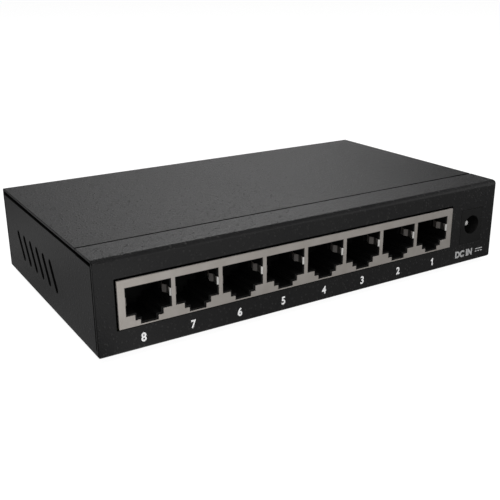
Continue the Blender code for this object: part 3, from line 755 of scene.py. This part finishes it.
# the pin in the near-white tin, a painted glint on its round tip
pin = turned("power_jack_pin_turned", [
    (0.85, 0.0), (1.0, 0.15), (1.0, 10.9), (0.96, 11.15), (0.86, 11.4), (0.70, 11.58),
    (0.48, 11.72), (0.25, 11.79), (0.0, 11.8)],
    (0.5 * (lo[0] + hi[0]), hi[1], 0.5 * (lo[2] + hi[2])), "Y", mat=TIN_PAINTED_GLINT, flip=True)
k = (hi[1] - lo[1]) / 11.8
for v in pin.data.vertices:
    v.co.y = hi[1] * 0.001 + (v.co.y - hi[1] * 0.001) * k
adopt(shade(pin, 50), "power_jack_pin")

WIRE = smooth_path([(0.2, 0.1), (1.2, -0.25), (7.3, -2.85), (8.3, -2.45)], 0.9, 6)
for n in range(1, 9):
    lo, hi = mmbox("contact_set_%d" % n)
    x = 0.5 * (lo[0] + hi[0])
    at = (x, -37.85, 19.9)
    comb = block("comb", (-4.2, 4.2), (-0.5, 0.5), (-0.4, 0.4), at, JACK)
    polish(comb, 0.1, 2)
    parts = [comb]
    for c in range(8):
        cx = 1.016 * (c - 3.5)
        wire = prism("wire", ribbon(WIRE, 0.3), "X", cx - 0.22, cx + 0.22, at, GOLD)
        parts.append(polish(wire, 0.07, 2))
    adopt(joined("contact_set_%d_sprung" % n, parts), "contact_set_%d" % n)

# =====================================================================
# board and its parts
# =====================================================================
refine("insulating_sheet", 0.0)
refine("main_board", 0.06, 1)
TOP_Z = mmbox("main_board")[1][2]


def chip(node, half_x, half_y, stand, body_h, rows, pitch, lead_w, reach, foot, chamfer,
         short_pitch=None, dot=True):
    """Moulded package: body with drafted sides, bent tinned leads, pin-1 mark."""
    lo, hi = mmbox(node)
    at = (0.5 * (lo[0] + hi[0]), 0.5 * (lo[1] + hi[1]), TOP_Z)
    z0, z1 = stand, stand + body_h
    zm = 0.5 * (z0 + z1)
    body = prism("body", [(-half_y, zm), (-half_y + chamfer, z0), (half_y - chamfer, z0),
                          (half_y, zm), (half_y - chamfer, z1), (-half_y + chamfer, z1)],
                 "X", -half_x, half_x, at)
    trim = prism("trim", [(-half_x, zm), (-half_x + chamfer, z0), (half_x - chamfer, z0),
                          (half_x, zm), (half_x - chamfer, z1), (-half_x + chamfer, z1)],
                 "Y", -half_y - 1, half_y + 1, at)
    combine(body, trim, "INTERSECT")
    body.data.materials.clear()
    body.data.materials.append(EPOXY)
    parts = [polish(body, 0.07, 2, 20)]
    if dot:
        r = 0.045 * min(half_x, half_y) + 0.18
        parts.append(prism("dot", circle(-half_x + chamfer + 2.6 * r,
                                         -half_y + chamfer + 2.6 * r, r, 20),
                           "Z", z1 - 0.01, z1 + 0.012, at, DOT))
    for side, count in rows:
        edge = half_x if side[1] == "X" else half_y
        s = -1.0 if side[0] == "-" else 1.0
        p = short_pitch if side[1] == "X" and short_pitch else pitch
        path = smooth_path([(edge - 0.4, zm), (edge + 0.40 * reach, zm),
                            (edge + 0.75 * reach, 0.12), (edge + reach + foot, 0.12)],
                           0.22, 3)
        outline = ribbon([(s * a, b) for a, b in path], 0.16)
        for i in range(count):
            c = p * (i - 0.5 * (count - 1))
            axis = "Y" if side[1] == "X" else "X"
            parts.append(prism("lead", outline, axis, c - lead_w / 2, c + lead_w / 2, at, TIN))
    return adopt(joined(node + "_package", parts), node)


for n in range(1, 5):
    chip("magnetics_%d" % n, 12.5, 4.6, 0.4, 5.4, [("-Y", 16), ("+Y", 16)], 1.4, 0.5,
         1.1, 0.5, 0.3)
chip("switch_chip", 10.0, 7.0, 0.25, 1.4, [("-Y", 32), ("+Y", 32), ("-X", 20), ("+X", 20)],
     0.56, 0.26, 0.7, 0.4, 0.25, 0.6)
chip("memory_chip", 2.45, 1.95, 0.25, 1.4, [("-Y", 4), ("+Y", 4)], 1.27, 0.42, 0.7, 0.35, 0.2)
chip("power_converter_chip", 2.45, 1.95, 0.25, 1.4, [("-Y", 4), ("+Y", 4)], 1.27, 0.42,
     0.7, 0.35, 0.2)
chip("input_diode", 2.2, 1.35, 0.25, 2.0, [("-X", 1), ("+X", 1)], 1.0, 1.5, 0.4, 0.2, 0.25,
     dot=False)
refine("heatsink", 0.12, 2)
refine("crystal", 0.2, 3)

for node in ("input_capacitor", "output_capacitor"):
    lo, hi = mmbox(node)
    cx, cy, r, h = 0.5 * (lo[0] + hi[0]), 0.5 * (lo[1] + hi[1]), 0.5 * (hi[0] - lo[0]), hi[2] - TOP_Z
    at = (cx, cy, TOP_Z)
    can = turned("can", [
        (r - 0.9, 0.15), (r - 0.35, 0.15), (r - 0.1, 0.3), (r, 0.6), (r, 1.3), (r - 0.12, 1.45),
        (r - 0.28, 1.7), (r - 0.12, 1.95), (r, 2.1), (r, h - 0.7), (r - 0.08, h - 0.35),
        (r - 0.3, h - 0.1), (r - 0.6, h)], at, segments=64, mat=CAN)
    for a, b in (((-0.62 * r, 0.62 * r), (-0.09, 0.09)), ((-0.09, 0.09), (-0.62 * r, 0.62 * r))):
        combine(can, block("score", a, b, (h - 0.12, h + 1), at))
    can.data.materials.clear()
    can.data.materials.append(CAN)
    shade(can, 32)
    half = [(-0.28 * r, -math.sqrt(1 - 0.28 ** 2) * 0.82 * r)]
    for i in range(17):
        a = math.radians(-106 - 148 * i / 16)
        half.append((0.82 * r * math.cos(a), 0.82 * r * math.sin(a)))
    mark = prism("mark", half[1:], "Z", h - 0.005, h + 0.012, at, BLACK_PRINT)
    adopt(joined(node + "_can", [can, mark]), node)

lo, hi = mmbox("power_inductor")
at = (0.5 * (lo[0] + hi[0]), 0.5 * (lo[1] + hi[1]), TOP_Z)
core = prism("core", rounded([(-3.9, -3.9, 1.1), (3.9, -3.9, 1.1), (3.9, 3.9, 1.1),
                              (-3.9, 3.9, 1.1)], 6), "Z", 0.15, 4.2, at)
ring = turned("ring", [(3.35, 3.7), (3.35, 5.0)], at, segments=56)
combine(ring, turned("in", [(2.75, 3.0), (2.75, 6.0)], at, segments=56))
combine(core, ring)
core.data.materials.clear()
core.data.materials.append(FERRITE)
polish(core, 0.08, 2)
fill = turned("fill", [(3.36, 3.5), (3.36, 4.02)], at, segments=56)
combine(fill, turned("in", [(2.74, 3.0), (2.74, 6.0)], at, segments=56))
fill.data.materials.clear()
fill.data.materials.append(COPPER)
shade(fill)
tabs = []
for s in (-1, 1):
    tabs.append(polish(block("tab", sorted((s * 3.55, s * 3.98)), (-1.4, 1.4), (0.02, 1.3), at, TIN),
                       0.06, 1))
adopt(joined("power_inductor_wound", [core, fill] + tabs), "power_inductor")

# indicator lamps: tinted lens, two bent leads
LED_PATH = smooth_path([(0.4, 0.0), (-1.6, 0.0), (-1.6, -4.35)], 0.7, 5)
for k in range(9):
    node = "led_power" if k == 0 else "led_port_%d" % k
    lo, hi = mmbox(node)
    at = (0.5 * (lo[0] + hi[0]), 33.4, 12.9)
    dome = [(1.5 * math.cos(math.radians(a)), 4.4 + 1.5 * math.sin(math.radians(a)))
            for a in range(0, 90, 10)]
    lens = turned("lens", [(1.7, 0.0), (1.9, 0.08), (1.9, 0.82), (1.82, 0.9), (1.5, 0.9)]
                  + dome + [(0.0, 5.9)], at, "Y", 40, RED_LENS if k == 0 else GREEN_LENS)
    parts = [shade(lens, 50)]
    for dx in (-1.27, 1.27):
        parts.append(polish(prism("lead", ribbon(LED_PATH, 0.45), "X", dx - 0.225, dx + 0.225,
                                  at, TIN), 0.05, 1))
    adopt(joined(node + "_lamp", parts), node)

# ---- copper, pads and small parts of the board
LIFT = 0.03


def trace(points, width, mat=None):
    return prism("trace", ribbon(points, width), "Z", TOP_Z - 0.01, TOP_Z + LIFT, mat=mat or TRACK)


def mitred(x0, y0, x1, y1, lane, c=0.5):
    """Down, across on a lane and down again, with 45 degree corners."""
    if abs(x1 - x0) < 2.2 * c:
        return [(x0, y0), (x0, lane - 0.5 * abs(x1 - x0)), (x1, lane + 0.5 * abs(x1 - x0)), (x1, y1)]
    s = 1 if x1 > x0 else -1
    return [(x0, y0), (x0, lane - c), (x0 + s * c, lane), (x1 - s * c, lane), (x1, lane + c),
            (x1, y1)]


tracks, tinned, ink = [], [], []
sources = []
for m in (-45.0, -18.0, 9.0, 36.0):
    for i in range(16):
        x = m + 1.4 * (i - 7.5)
        tracks.append(trace([(x, -24.2), (x, -22.0)], 0.35))
        if i % 3 != 0:
            sources.append(x)
sources = [x for i, x in enumerate(sorted(sources)) if i % 2 == 0]
count = len(sources)
targets = [-10.0 + 0.56 * 1.55 * (i - 0.5 * (count - 1)) for i in range(count)]
left = [i for i in range(count) if sources[i] <= targets[i]]
for i in range(count):
    if i in left:
        lane = -1.9 - 0.34 * left.index(i)
    else:
        lane = -5.6 - 0.22 * (count - 1 - i)
    tracks.append(trace(mitred(sources[i], -9.7, targets[i], -0.2, lane, 0.32), 0.14))

led_x = [36.25] + [23.25 - 8.5 * k for k in range(8)]
for k, x in enumerate(sorted(led_x[1:])):
    xt = -10.0 + 2.1 * (k - 3.5)
    lane = 18.2 + (1.15 * k if x < xt else 1.15 * (7 - k))
    tracks.append(trace(mitred(xt, 16.3, x + 1.27, 31.0, lane, 0.6), 0.25))
    tracks.append(trace([(x - 1.27, 31.8), (x - 1.27, 34.6)], 0.5))
tracks.append(trace([(47.5, 20.0), (40.0, 27.5), (37.5, 30.0), (37.5, 31.0)], 0.5))
# supply: wide copper from the power jack through the diode to the converter
tracks.append(trace([(60.0, -25.6), (60.0, -14.0), (58.6, -11.8), (58.6, -9.0)], 2.6))
tracks.append(trace([(53.4, -10.0), (50.6, -7.2), (50.6, 9.0), (51.6, 11.0)], 2.2))
tracks.append(trace([(44.6, -2.0), (47.2, -2.0), (50.0, 1.0)], 1.4))
tracks.append(trace([(54.0, 4.6), (52.0, 7.0), (44.5, 13.2)], 1.8))
tracks.append(trace([(38.9, 15.0), (31.0, 15.0), (22.0, 12.0), (4.5, 12.0)], 1.2))

for x, y in ((-62, -16), (62, -16), (-62, 29), (62, 29)):
    pad = turned("pad", [(3.3, -0.01), (3.3, LIFT)], (x, y, TOP_Z), segments=40, mat=TIN)
    tinned.append(combine(pad, turned("h", [(1.85, -1), (1.85, 1)], (x, y, TOP_Z), segments=32)))
    pad.data.materials.clear()
    pad.data.materials.append(TIN)
for x in led_x:
    for dx in (-1.27, 1.27):
        tinned.append(turned("joint", [(0.95, -0.01), (0.95, 0.02), (0.6, 0.12), (0.34, 0.42)],
                             (x + dx, 31.8, TOP_Z), segments=20, mat=TIN))
rng = random.Random(8)
spots = []
for i in range(150):
    x, y = rng.uniform(-63, 63), rng.uniform(-6, 30)
    if any(abs(x - a) < w and abs(y - b) < h for a, b, w, h in (
            (-10, 8, 12.5, 9.5), (-33, 8, 4, 4), (42, -2, 4, 5), (56, -10, 4, 3), (53, 13, 5.5, 5.5),
            (42, 15, 4.5, 4.5), (54, 1, 5.5, 5.5), (14, 5, 6.5, 3.5), (-62, 29, 5, 5), (62, 29, 5, 5),
            (0, 33, 70, 3))) or any(math.hypot(x - a, y - b) < 3.2 for a, b in spots):
        continue
    spots.append((x, y))
    tinned.append(turned("via", [(0.32, -0.01), (0.32, 0.035), (0.16, 0.035), (0.14, 0.0)],
                         (x, y, TOP_Z), segments=12, mat=TIN))


def passive(x, y, upright, kind):
    """Two-terminal chip part on its pads: resistor or ceramic capacitor."""
    h = 0.42 if kind == "r" else 0.75
    turn = (lambda a, b: (b, a)) if upright else (lambda a, b: (a, b))

    def cell(a, b, z, mat):
        ax, ay = turn(a, b)
        return block("cell", ax, ay, z, (x, y, TOP_Z), mat)

    out = [cell((-0.48, 0.48), (-0.4, 0.4), (0.06, h), RESISTOR if kind == "r" else CERAMIC)]
    for s in (-1, 1):
        out.append(cell(sorted((s * 0.46, s * 0.82)), (-0.41, 0.41), (0.05, h + 0.02), TIN))
        out.append(cell(sorted((s * 0.42, s * 1.22)), (-0.48, 0.48), (-0.01, 0.05), TIN))
    return out


chips = []
for i in range(7):
    chips += passive(-24.2, 0.2 + 2.6 * i, False, "c" if i % 3 else "r")
    chips += passive(4.6, 0.2 + 2.6 * i, False, "r" if i % 3 else "c")
for k, x in enumerate(led_x):
    chips += passive(x + 1.27, 28.6, True, "r")
for x, y, up_, kind in ((36.2, -5.0, True, "c"), (36.2, -1.4, True, "r"), (36.2, 2.0, True, "r"),
                        (47.6, -6.4, False, "c"), (47.2, 3.0, True, "c"), (41.0, 4.4, False, "r"),
                        (44.4, 4.4, False, "c"), (14.0, -1.0, False, "c"), (19.8, 9.4, False, "c"),
                        (9.6, 9.4, False, "c"), (-33.0, 3.2, False, "c"), (-38.2, 8.0, True, "r"),
                        (-41.0, 8.0, True, "r"), (-28.0, 13.2, False, "r"), (-32.4, 13.2, False, "r"),
                        (60.0, 8.0, True, "c"), (60.5, 15.0, True, "c"), (36.0, 20.2, False, "c"),
                        (48.0, 22.0, True, "r")):
    chips += passive(x, y, up_, kind)
for i in range(8):
    chips += passive(-56.0 + 3.4 * i, 0.6, True, "r" if i % 2 else "c")
    chips += passive(-56.0 + 3.4 * i, 18.0, True, "r")


def frame_line(x0, x1, y0, y1, w=0.16):
    for xs, ys in (((x0, x1), (y0, y0 + w)), ((x0, x1), (y1 - w, y1)), ((x0, x0 + w), (y0, y1)),
                   ((x1 - w, x1), (y0, y1))):
        ink.append(block("line", xs, ys, (TOP_Z + LIFT - 0.005, TOP_Z + LIFT + 0.02), mat=INK))


for m in (-45.0, -18.0, 9.0, 36.0):
    frame_line(m - 13.1, m + 13.1, -22.9, -9.1)
frame_line(-22.6, 2.6, -0.9, 16.9)
frame_line(-36.2, -29.8, 4.3, 11.7)
frame_line(38.8, 45.2, -5.6, 1.6)
frame_line(49.5, 58.5, -3.5, 5.5)
frame_line(7.6, 20.4, 1.6, 8.4)
for x in led_x:
    frame_line(x - 2.5, x + 2.5, 30.2, 36.2)
for x, y, r in ((53.0, 13.0, 4.6), (42.0, 15.0, 3.8)):
    ring = turned("ring", [(r, LIFT - 0.005), (r, LIFT + 0.02)], (x, y, TOP_Z), segments=48, mat=INK)
    combine(ring, turned("in", [(r - 0.18, -1), (r - 0.18, 1)], (x, y, TOP_Z), segments=48))
    ring.data.materials.clear()
    ring.data.materials.append(INK)
    ink.append(ring)

for label, parts in (("board_tracks", tracks), ("board_pads", tinned), ("board_small_parts", chips),
                     ("board_legend", ink)):
    piece = joined(label, parts)
    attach(piece, BODY["main_board"])


# =====================================================================
# printed marks
# =====================================================================
def print_text(text, height, centre, facing, name, bold=0.012, squeeze=1.0, depth=0.03, mat=None):
    """Flat lettering of a given cap height in mm, centred on a point."""
    cu = bpy.data.curves.new(name, "FONT")
    cu.body = text
    cu.size = 1.0
    cu.offset = bold
    cu.extrude = 0.5
    cu.resolution_u = 6
    tmp = bpy.data.objects.new(name, cu)
    COLLECTION.objects.link(tmp)
    graph = bpy.context.evaluated_depsgraph_get()
    me = bpy.data.meshes.new_from_object(tmp.evaluated_get(graph))
    bpy.data.objects.remove(tmp, do_unlink=True)
    return place_print(me, height, centre, facing, name, squeeze, depth, mat)


def place_print(me, height, centre, facing, name, squeeze=1.0, depth=0.03, mat=None):
    xs = [v.co.x for v in me.vertices]
    ys = [v.co.y for v in me.vertices]
    cx, cy = 0.5 * (min(xs) + max(xs)), 0.5 * (min(ys) + max(ys))
    k = height / (max(ys) - min(ys))
    for v in me.vertices:
        a = (v.co.x - cx) * k * squeeze
        b = (v.co.y - cy) * k
        c = depth if v.co.z > 0 else -0.01
        if facing == "front":
            p = (centre[0] + a, centre[1] - c, centre[2] + b)
        elif facing == "rear":
            p = (centre[0] - a, centre[1] + c, centre[2] + b)
        else:
            p = (centre[0] + a, centre[1] + b, centre[2] + c)
        v.co = Vector(p) * 0.001
    me.materials.clear()
    me.materials.append(mat or INK)
    ob = bpy.data.objects.new(name, me)
    COLLECTION.objects.link(ob)
    return ob


def digit_one(height, centre, facing, mat=None):
    """A one with a flag, which the built-in face lacks."""
    shape = [(0.30, 0.0), (0.50, 0.0), (0.50, 1.0), (0.35, 1.0), (0.29, 0.88), (0.12, 0.77),
             (0.12, 0.61), (0.22, 0.66), (0.30, 0.72)]
    bm = bmesh.new()
    face = bm.faces.new([bm.verts.new((a, b, -0.5)) for a, b in shape])
    grown = bmesh.ops.extrude_face_region(bm, geom=[face])
    bmesh.ops.translate(bm, vec=(0, 0, 1.0),
                        verts=[g for g in grown["geom"] if isinstance(g, bmesh.types.BMVert)])
    bmesh.ops.recalc_face_normals(bm, faces=bm.faces[:])
    me = bpy.data.meshes.new("one")
    bm.to_mesh(me)
    bm.free()
    return place_print(me, height, centre, facing, "one", 1.0, 0.03, mat)


def digit(n, height, centre, facing, bold=0.035, squeeze=0.92, mat=None):
    if n == 1:
        return digit_one(height, centre, facing, mat)
    return print_text(str(n), height, centre, facing, "digit", bold, squeeze, 0.03, mat)


TRAY_LO, TRAY_HI = mmbox("base_tray")
UNDER = TRAY_LO[2]
FRONT = TRAY_LO[1]
REAR = TRAY_HI[1]
marks = []
for k in range(8):
    x = -57.55 + 14.40 * k
    tall = 2.52 if 8 - k in (8, 6, 3) else 2.42
    marks.append(digit(8 - k, tall, (x, FRONT, UNDER + 3.34), "front", 0.030, 0.88))
marks.append(print_text("DC IN", 2.4, (57.6, FRONT, UNDER + 3.42), "front", "dc", 0.05, 0.95,
                        mat=INK_GREY))
# the sign for direct current: a line over three dashes
marks.append(block("dc_line", (62.9, 66.2), (FRONT - 0.03, FRONT + 0.01),
                   (UNDER + 3.75, UNDER + 4.1), mat=INK_GREY))
for i in range(3):
    marks.append(block("dc_dash", (62.9 + 1.25 * i, 63.7 + 1.25 * i),
                       (FRONT - 0.03, FRONT + 0.01), (UNDER + 2.9, UNDER + 3.25), mat=INK_GREY))
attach(joined("front_panel_print", marks), BODY["base_tray"])

marks = []
for k in range(1, 9):
    marks.append(digit(k, 2.1, (led_x[k], REAR, 17.0), "rear"))
# power sign: broken ring and bar
x = led_x[0]
ringpts = []
for i in range(25):
    a = math.radians(125 + 290 * i / 24)
    ringpts.append((x + 1.05 * math.cos(a), 16.9 + 1.05 * math.sin(a)))
marks.append(prism("ring", ribbon(ringpts, 0.3), "Y", REAR - 0.01, REAR + 0.03, mat=INK))
marks.append(block("bar", (x - 0.15, x + 0.15), (REAR - 0.01, REAR + 0.03), (16.9, 18.25), mat=INK))
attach(joined("rear_panel_print", marks), BODY["base_tray"])

# =====================================================================
# stage: pale floor, soft studio light, camera
# =====================================================================
scene = bpy.context.scene
scene.view_settings.view_transform = "Standard"
scene.view_settings.look = "None"
scene.view_settings.exposure = 0.0
scene.view_settings.gamma = 1.0

FLOOR_DIFFUSE = 0.12
FLOOR_GLOW = 0.95
# what the case mirrors of the table, along X and along Y (millimetres)
FLOOR_X = ((-400, 0.30), (-140, 0.32), (-105, 0.33), (-90, 0.30), (-77, 0.175), (-69, 0.26),
           (-61, 0.72), (-54, 0.66), (-48, 0.54), (-40, 0.45), (-33, 0.42), (-20, 0.29),
           (-8, 0.33), (20, 0.27), (60, 0.26), (85, 0.14), (120, 0.12), (200, 0.22),
           (400, 0.25))
FLOOR_Y = ((-400, 1.28), (-88, 1.28), (-76, 1.10), (-63, 0.70), (-50, 0.62), (-42, 0.62),
           (-30, 0.90), (0, 0.90), (20, 0.72), (45, 0.90), (60, 1.0), (85, 0.9), (140, 0.40),
           (400, 0.25))
# the table behind and to the right of the case, which only those sides mirror
BACK_X = ((-400, 0.0), (-66, 0.0), (-50, 1.0), (400, 1.0))
BACK_Y = ((-400, 0.0), (41, 0.0), (60, 0.50), (150, 0.70), (400, 0.70))
SIDE_X = ((-400, 0.0), (71, 0.0), (84, 0.50), (150, 0.70), (400, 0.70))
SIDE_Y = ((-400, 0.0), (-34, 0.0), (-18, 1.0), (41, 1.0), (60, 0.0), (400, 0.0))
# a window behind and to the right: by sine of the elevation and by bearing (degrees)
WINDOW_GAIN = 2.22
WINDOW_Z = ((0.0, 0.0), (0.28, 0.02), (0.34, 0.16), (0.42, 1.30), (0.60, 0.65), (0.80, 0.05),
            (1.0, 0.03))
WINDOW_AZ = ((-180, 0.0), (2, 0.0), (10, 0.34), (17, 0.62), (24, 0.82), (31, 1.02), (38, 1.14),
             (44, 0.50), (51, 0.0), (180, 0.0))
# the rest of the room
ROOM_Z = ((0.0, 0.50), (0.15, 0.55), (0.40, 0.50), (0.55, 0.26), (0.66, 0.10), (0.80, 0.05),
          (1.0, 0.05))
ROOM_AZ = ((-180, 1.0), (-10, 1.0), (4, 0.3), (12, 0.0), (55, 0.0), (80, 1.15), (95, 1.6),
           (130, 1.3), (180, 1.0))
LIGHTS = (("overhead", 1.2, 21.0, (-0.2, -0.1, 1.2), (0, 0, 0.015), False, True),
          ("front", 0.8, 5.0, (-0.5, -0.9, 0.45), (0, 0, 0.015), False, True))

# A white table top.  Seen directly it is lit white with a faint contact
# shadow; what the case mirrors is a softer, uneven version of the room.
bm = bmesh.new()
bmesh.ops.create_grid(bm, x_segments=2, y_segments=2, size=4.0)
bmesh.ops.translate(bm, verts=bm.verts[:], vec=(0, 0, -0.00005))
floor = from_bmesh("floor", bm)
fm = bpy.data.materials.new("floor_pale")
fm.use_nodes = True
ft = fm.node_tree
ft.nodes.clear()


def ramp_node(tree, value, stops):
    n = tree.nodes.new("ShaderNodeValToRGB")
    tree.links.new(value, n.inputs["Fac"])
    el = n.color_ramp.elements
    while len(el) < len(stops):
        el.new(0.5)
    for e, (p, c) in zip(el, stops):
        e.position = p
        e.color = (c, c, c, 1.0) if isinstance(c, (int, float)) else (*c, 1.0)
    return n.outputs["Color"]


def spread(stops, half):
    """Stops over -half..half as ramp positions 0..1."""
    return tuple(((p + half) / (2.0 * half), v) for p, v in stops)


def range_node(tree, value, lo, hi):
    n = tree.nodes.new("ShaderNodeMapRange")
    tree.links.new(value, n.inputs["Value"])
    n.inputs["From Min"].default_value = lo
    n.inputs["From Max"].default_value = hi
    return n.outputs[0]


def times(tree, a, b):
    n = tree.nodes.new("ShaderNodeMix")
    n.data_type = "RGBA"
    n.blend_type = "MULTIPLY"
    n.inputs["Factor"].default_value = 1.0
    tree.links.new(a, n.inputs[6])
    tree.links.new(b, n.inputs[7])
    return n.outputs[2]


f_out = ft.nodes.new("ShaderNodeOutputMaterial")
f_mix = ft.nodes.new("ShaderNodeMixShader")
f_path = ft.nodes.new("ShaderNodeLightPath")
f_add = ft.nodes.new("ShaderNodeAddShader")
f_diff = ft.nodes.new("ShaderNodeBsdfDiffuse")
f_diff.inputs["Color"].default_value = (FLOOR_DIFFUSE,) * 3 + (1.0,)
f_glow = ft.nodes.new("ShaderNodeEmission")
f_glow.inputs["Color"].default_value = (1, 1, 1, 1)
f_glow.inputs["Strength"].default_value = FLOOR_GLOW
f_room = ft.nodes.new("ShaderNodeEmission")
f_pos = ft.nodes.new("ShaderNodeTexCoord")
f_xyz = ft.nodes.new("ShaderNodeSeparateXYZ")
ft.links.new(f_pos.outputs["Object"], f_xyz.inputs[0])
f_x = ramp_node(ft, range_node(ft, f_xyz.outputs["X"], -0.4, 0.4), spread(FLOOR_X, 400.0))
f_y = ramp_node(ft, range_node(ft, f_xyz.outputs["Y"], -0.4, 0.4), spread(FLOOR_Y, 400.0))


def over_table(along_x, along_y):
    return times(ft, ramp_node(ft, range_node(ft, f_xyz.outputs["X"], -0.4, 0.4),
                               spread(along_x, 400.0)),
                 ramp_node(ft, range_node(ft, f_xyz.outputs["Y"], -0.4, 0.4),
                           spread(along_y, 400.0)))


f_sum = times(ft, f_x, f_y)
for more in (over_table(BACK_X, BACK_Y), over_table(SIDE_X, SIDE_Y)):
    f_plus = ft.nodes.new("ShaderNodeMix")
    f_plus.data_type = "RGBA"
    f_plus.blend_type = "ADD"
    f_plus.inputs["Factor"].default_value = 1.0
    ft.links.new(f_sum, f_plus.inputs[6])
    ft.links.new(more, f_plus.inputs[7])
    f_sum = f_plus.outputs[2]
ft.links.new(f_sum, f_room.inputs["Color"])
ft.links.new(f_diff.outputs[0], f_add.inputs[0])
ft.links.new(f_glow.outputs[0], f_add.inputs[1])
ft.links.new(f_path.outputs["Is Camera Ray"], f_mix.inputs["Fac"])
ft.links.new(f_room.outputs[0], f_mix.inputs[1])
ft.links.new(f_add.outputs[0], f_mix.inputs[2])
ft.links.new(f_mix.outputs[0], f_out.inputs["Surface"])
floor.data.materials.append(fm)
floor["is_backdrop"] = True

world = bpy.data.worlds.new("studio")
scene.world = world
world.use_nodes = True
wt = world.node_tree
bg = wt.nodes["Background"]
w_pos = wt.nodes.new("ShaderNodeTexCoord")
w_xyz = wt.nodes.new("ShaderNodeSeparateXYZ")
wt.links.new(w_pos.outputs["Generated"], w_xyz.inputs[0])
# bearing, 0 straight behind the case, + towards its right-hand side
w_az = wt.nodes.new("ShaderNodeMath")
w_az.operation = "ARCTAN2"
wt.links.new(w_xyz.outputs["X"], w_az.inputs[0])
wt.links.new(w_xyz.outputs["Y"], w_az.inputs[1])
w_turn = range_node(wt, w_az.outputs[0], -math.pi, math.pi)
window = times(wt, ramp_node(wt, w_xyz.outputs["Z"], WINDOW_Z),
               ramp_node(wt, w_turn, spread(WINDOW_AZ, 180.0)))
w_gain = wt.nodes.new("ShaderNodeMix")
w_gain.data_type = "RGBA"
w_gain.blend_type = "MULTIPLY"
w_gain.inputs["Factor"].default_value = 1.0
wt.links.new(window, w_gain.inputs[6])
w_gain.inputs[7].default_value = (WINDOW_GAIN, WINDOW_GAIN, WINDOW_GAIN, 1.0)
room = times(wt, ramp_node(wt, w_xyz.outputs["Z"], ROOM_Z),
             ramp_node(wt, w_turn, spread(ROOM_AZ, 180.0)))
w_sum = wt.nodes.new("ShaderNodeMix")
w_sum.data_type = "RGBA"
w_sum.blend_type = "ADD"
w_sum.inputs["Factor"].default_value = 1.0
wt.links.new(w_gain.outputs[2], w_sum.inputs[6])
wt.links.new(room, w_sum.inputs[7])
w_path = wt.nodes.new("ShaderNodeLightPath")
w_mix = wt.nodes.new("ShaderNodeMix")
w_mix.data_type = "RGBA"
wt.links.new(w_path.outputs["Is Camera Ray"], w_mix.inputs["Factor"])
wt.links.new(w_sum.outputs[2], w_mix.inputs[6])
w_mix.inputs[7].default_value = (1.0, 1.0, 1.0, 1.0)
wt.links.new(w_mix.outputs[2], bg.inputs["Color"])
bg.inputs["Strength"].default_value = 1.0


def area(name, size, power, location, target=(0, 0, 0.015), glossy=True, diffuse=True):
    li = bpy.data.lights.new(name, "AREA")
    li.shape = "SQUARE"
    li.size = size
    li.energy = power
    ob = bpy.data.objects.new(name, li)
    COLLECTION.objects.link(ob)
    ob.location = location
    ob.rotation_mode = "QUATERNION"
    ob.rotation_quaternion = (Vector(target) - Vector(location)).to_track_quat("-Z", "Y")
    ob.visible_camera = False
    ob.visible_glossy = glossy
    ob.visible_diffuse = diffuse
    return ob


for args in LIGHTS:
    area(*args)

cam_data = bpy.data.cameras.new("camera")
cam = bpy.data.objects.new("camera", cam_data)
COLLECTION.objects.link(cam)
cam_data.sensor_width = 36.0
cam_data.lens = 55.14
cam_data.clip_start = 0.01
cam_data.clip_end = 20.0
cam.location = (-0.127307, -0.205530, 0.090913 + UNDER * 0.001)
cam.rotation_euler = (math.radians(70.1614), math.radians(0.3714), math.radians(-31.7545))
scene.camera = cam

lo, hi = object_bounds()
